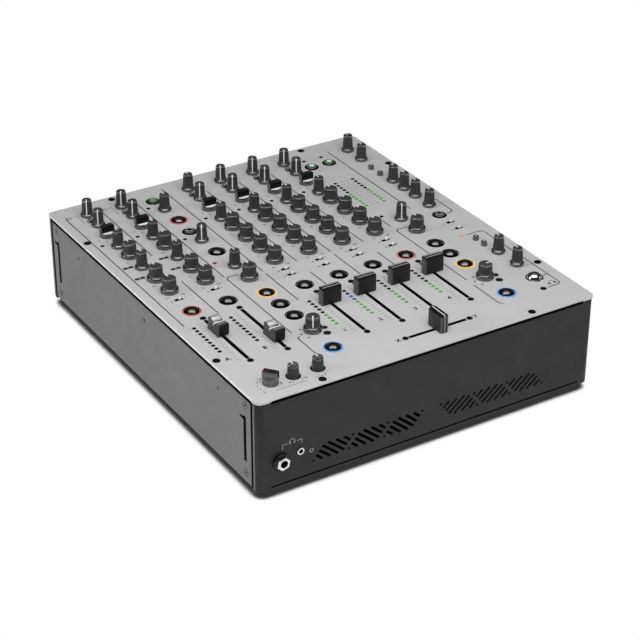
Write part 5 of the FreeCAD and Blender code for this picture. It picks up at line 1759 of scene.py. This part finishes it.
class MIXER_OT_stage(bpy.types.Operator):
    """Sets the pale floor, the soft studio light and the camera"""

    bl_idname = "mixer.stage"
    bl_label = "Stage"

    def execute(self, context):
        looks = context.scene.mixer_stage
        self.floor(looks)
        self.surround(looks)
        self.lamp("Key softbox", looks.key, 1.0, 0.4, (-0.2, -0.62, 0.85), mirrored=False)
        self.lamp("Top softbox", looks.top, 1.4, 0.5, (-0.067, -0.113, 1.3))
        self.lamp("Side fill", looks.fill, 0.3, 0.5, (-1.6, 0.4, 0.7))
        self.lamp("Right strip", looks.strip, 0.2, 0.4, (1.4, -0.8, 0.6))
        self.camera(looks)
        context.scene.view_settings.view_transform = "Standard"
        return {"FINISHED"}

    def floor(self, looks):
        """A pale floor that the camera sees as white paper, shaded only close to the feet."""
        bm = bmesh.new()
        bmesh.ops.create_grid(bm, x_segments=8, y_segments=8, size=12.0)
        mesh = template("floor", bm)
        floor = bpy.data.objects.new("floor", mesh)
        bpy.context.scene.collection.objects.link(floor)
        material = bpy.data.materials.new("Pale floor")
        material.use_nodes = True
        tree = material.node_tree
        shader = tree.nodes["Principled BSDF"]
        fill(shader, Base_Color=(*looks.floor, 1.0), Roughness=0.9, Specular_IOR_Level=0.0)
        rays = tree.nodes.new("ShaderNodeLightPath")
        seen = tree.nodes.new("ShaderNodeMath")
        seen.operation = "MAXIMUM"
        tree.links.new(rays.outputs["Is Camera Ray"], seen.inputs[0])
        tree.links.new(rays.outputs["Is Glossy Ray"], seen.inputs[1])
        contact = tree.nodes.new("ShaderNodeAmbientOcclusion")
        contact.samples = 16
        fill(contact, Distance=looks.shade)
        shade = tree.nodes.new("ShaderNodeMapRange")
        fill(shade, From_Min=0.57, From_Max=0.76, To_Min=0.035)
        tree.links.new(contact.outputs["AO"], shade.inputs["Value"])
        paper = tree.nodes.new("ShaderNodeEmission")
        tree.links.new(shade.outputs["Result"], paper.inputs["Color"])
        mix = tree.nodes.new("ShaderNodeMixShader")
        tree.links.new(seen.outputs[0], mix.inputs[0])
        tree.links.new(shader.outputs[0], mix.inputs[1])
        tree.links.new(paper.outputs[0], mix.inputs[2])
        tree.links.new(mix.outputs[0], tree.nodes["Material Output"].inputs["Surface"])
        mesh.materials.append(material)

    def surround(self, looks):
        """A studio dome: bright overhead, falling to a dim horizon."""
        world = bpy.data.worlds.new("Studio surround")
        bpy.context.scene.world = world
        world.use_nodes = True
        tree = world.node_tree
        dome = tree.nodes["Background"]
        fill(dome, Color=(1.0, 1.0, 1.0, 1.0))
        place = tree.nodes.new("ShaderNodeTexCoord")
        split = tree.nodes.new("ShaderNodeSeparateXYZ")
        tree.links.new(place.outputs["Generated"], split.inputs[0])
        rise = tree.nodes.new("ShaderNodeMapRange")
        rise.interpolation_type = "SMOOTHSTEP"
        fill(rise, From_Min=0.68, From_Max=0.95, To_Min=looks.horizon, To_Max=looks.zenith)
        tree.links.new(split.outputs["Z"], rise.inputs["Value"])
        tree.links.new(rise.outputs["Result"], dome.inputs["Strength"])

    def lamp(self, name, power, width, height, place, mirrored=True):
        """A soft rectangular light that faces the middle of the case."""
        aim = Vector((0, 0, 0.05))
        source = bpy.data.lights.new(name, "AREA")
        source.shape = "RECTANGLE"
        source.energy = power
        source.size = width
        source.size_y = height
        lamp = bpy.data.objects.new(name, source)
        lamp.location = place
        lamp.visible_glossy = mirrored
        lamp.rotation_euler = (aim - Vector(place)).to_track_quat("-Z", "Y").to_euler()
        bpy.context.scene.collection.objects.link(lamp)

    def camera(self, looks):
        yaw, pitch, roll = looks.yaw, looks.pitch, looks.roll
        right = Vector((math.cos(yaw), math.sin(yaw), 0))
        back = Vector((math.sin(yaw) * math.cos(pitch), -math.cos(yaw) * math.cos(pitch), math.sin(pitch)))
        up = back.cross(right)
        level = Matrix((right, up, back)).transposed()
        lens = bpy.data.cameras.new("Photo view")
        lens.lens = looks.lens
        lens.sensor_width = 36.0
        camera = bpy.data.objects.new("Photo view", lens)
        turn = level @ Matrix.Rotation(roll, 3, "Z")
        camera.matrix_world = Matrix.Translation(looks.place) @ turn.to_4x4()
        bpy.context.scene.collection.objects.link(camera)
        bpy.context.scene.camera = camera


OPERATORS = (
    MIXER_OT_case, MIXER_OT_print, MIXER_OT_screws, MIXER_OT_fixed_knobs, MIXER_OT_turning_knobs,
    MIXER_OT_buttons, MIXER_OT_faders, MIXER_OT_lamps, MIXER_OT_switches, MIXER_OT_headphone_sockets,
    MIXER_OT_rear_sockets, MIXER_OT_stage,
)
LOOKS = {
    "mixer_case": CaseLooks,
    "mixer_knobs": KnobLooks,
    "mixer_buttons": ButtonLooks,
    "mixer_faders": FaderLooks,
    "mixer_print": PrintLooks,
    "mixer_stage": StageLooks,
}


class MIXER_PT_panel(bpy.types.Panel):
    """Lists the steps that build the mixer's looks"""

    bl_idname = "MIXER_PT_panel"
    bl_label = "Mixer"
    bl_space_type = "VIEW_3D"
    bl_region_type = "UI"
    bl_category = "Mixer"

    def draw(self, context):
        for operator in OPERATORS:
            self.layout.operator(operator.bl_idname)


def register():
    for name, looks in LOOKS.items():
        bpy.utils.register_class(looks)
        setattr(bpy.types.Scene, name, PointerProperty(type=looks))
    for operator in OPERATORS:
        bpy.utils.register_class(operator)
    bpy.utils.register_class(MIXER_PT_panel)


def unregister():
    bpy.utils.unregister_class(MIXER_PT_panel)
    for operator in reversed(OPERATORS):
        bpy.utils.unregister_class(operator)
    for name, looks in reversed(LOOKS.items()):
        delattr(bpy.types.Scene, name)
        bpy.utils.unregister_class(looks)


def main():
    register()
    for operator in OPERATORS:
        group, step = operator.bl_idname.split(".")
        getattr(getattr(bpy.ops, group), step)()


if __name__ == "__main__":
    main()
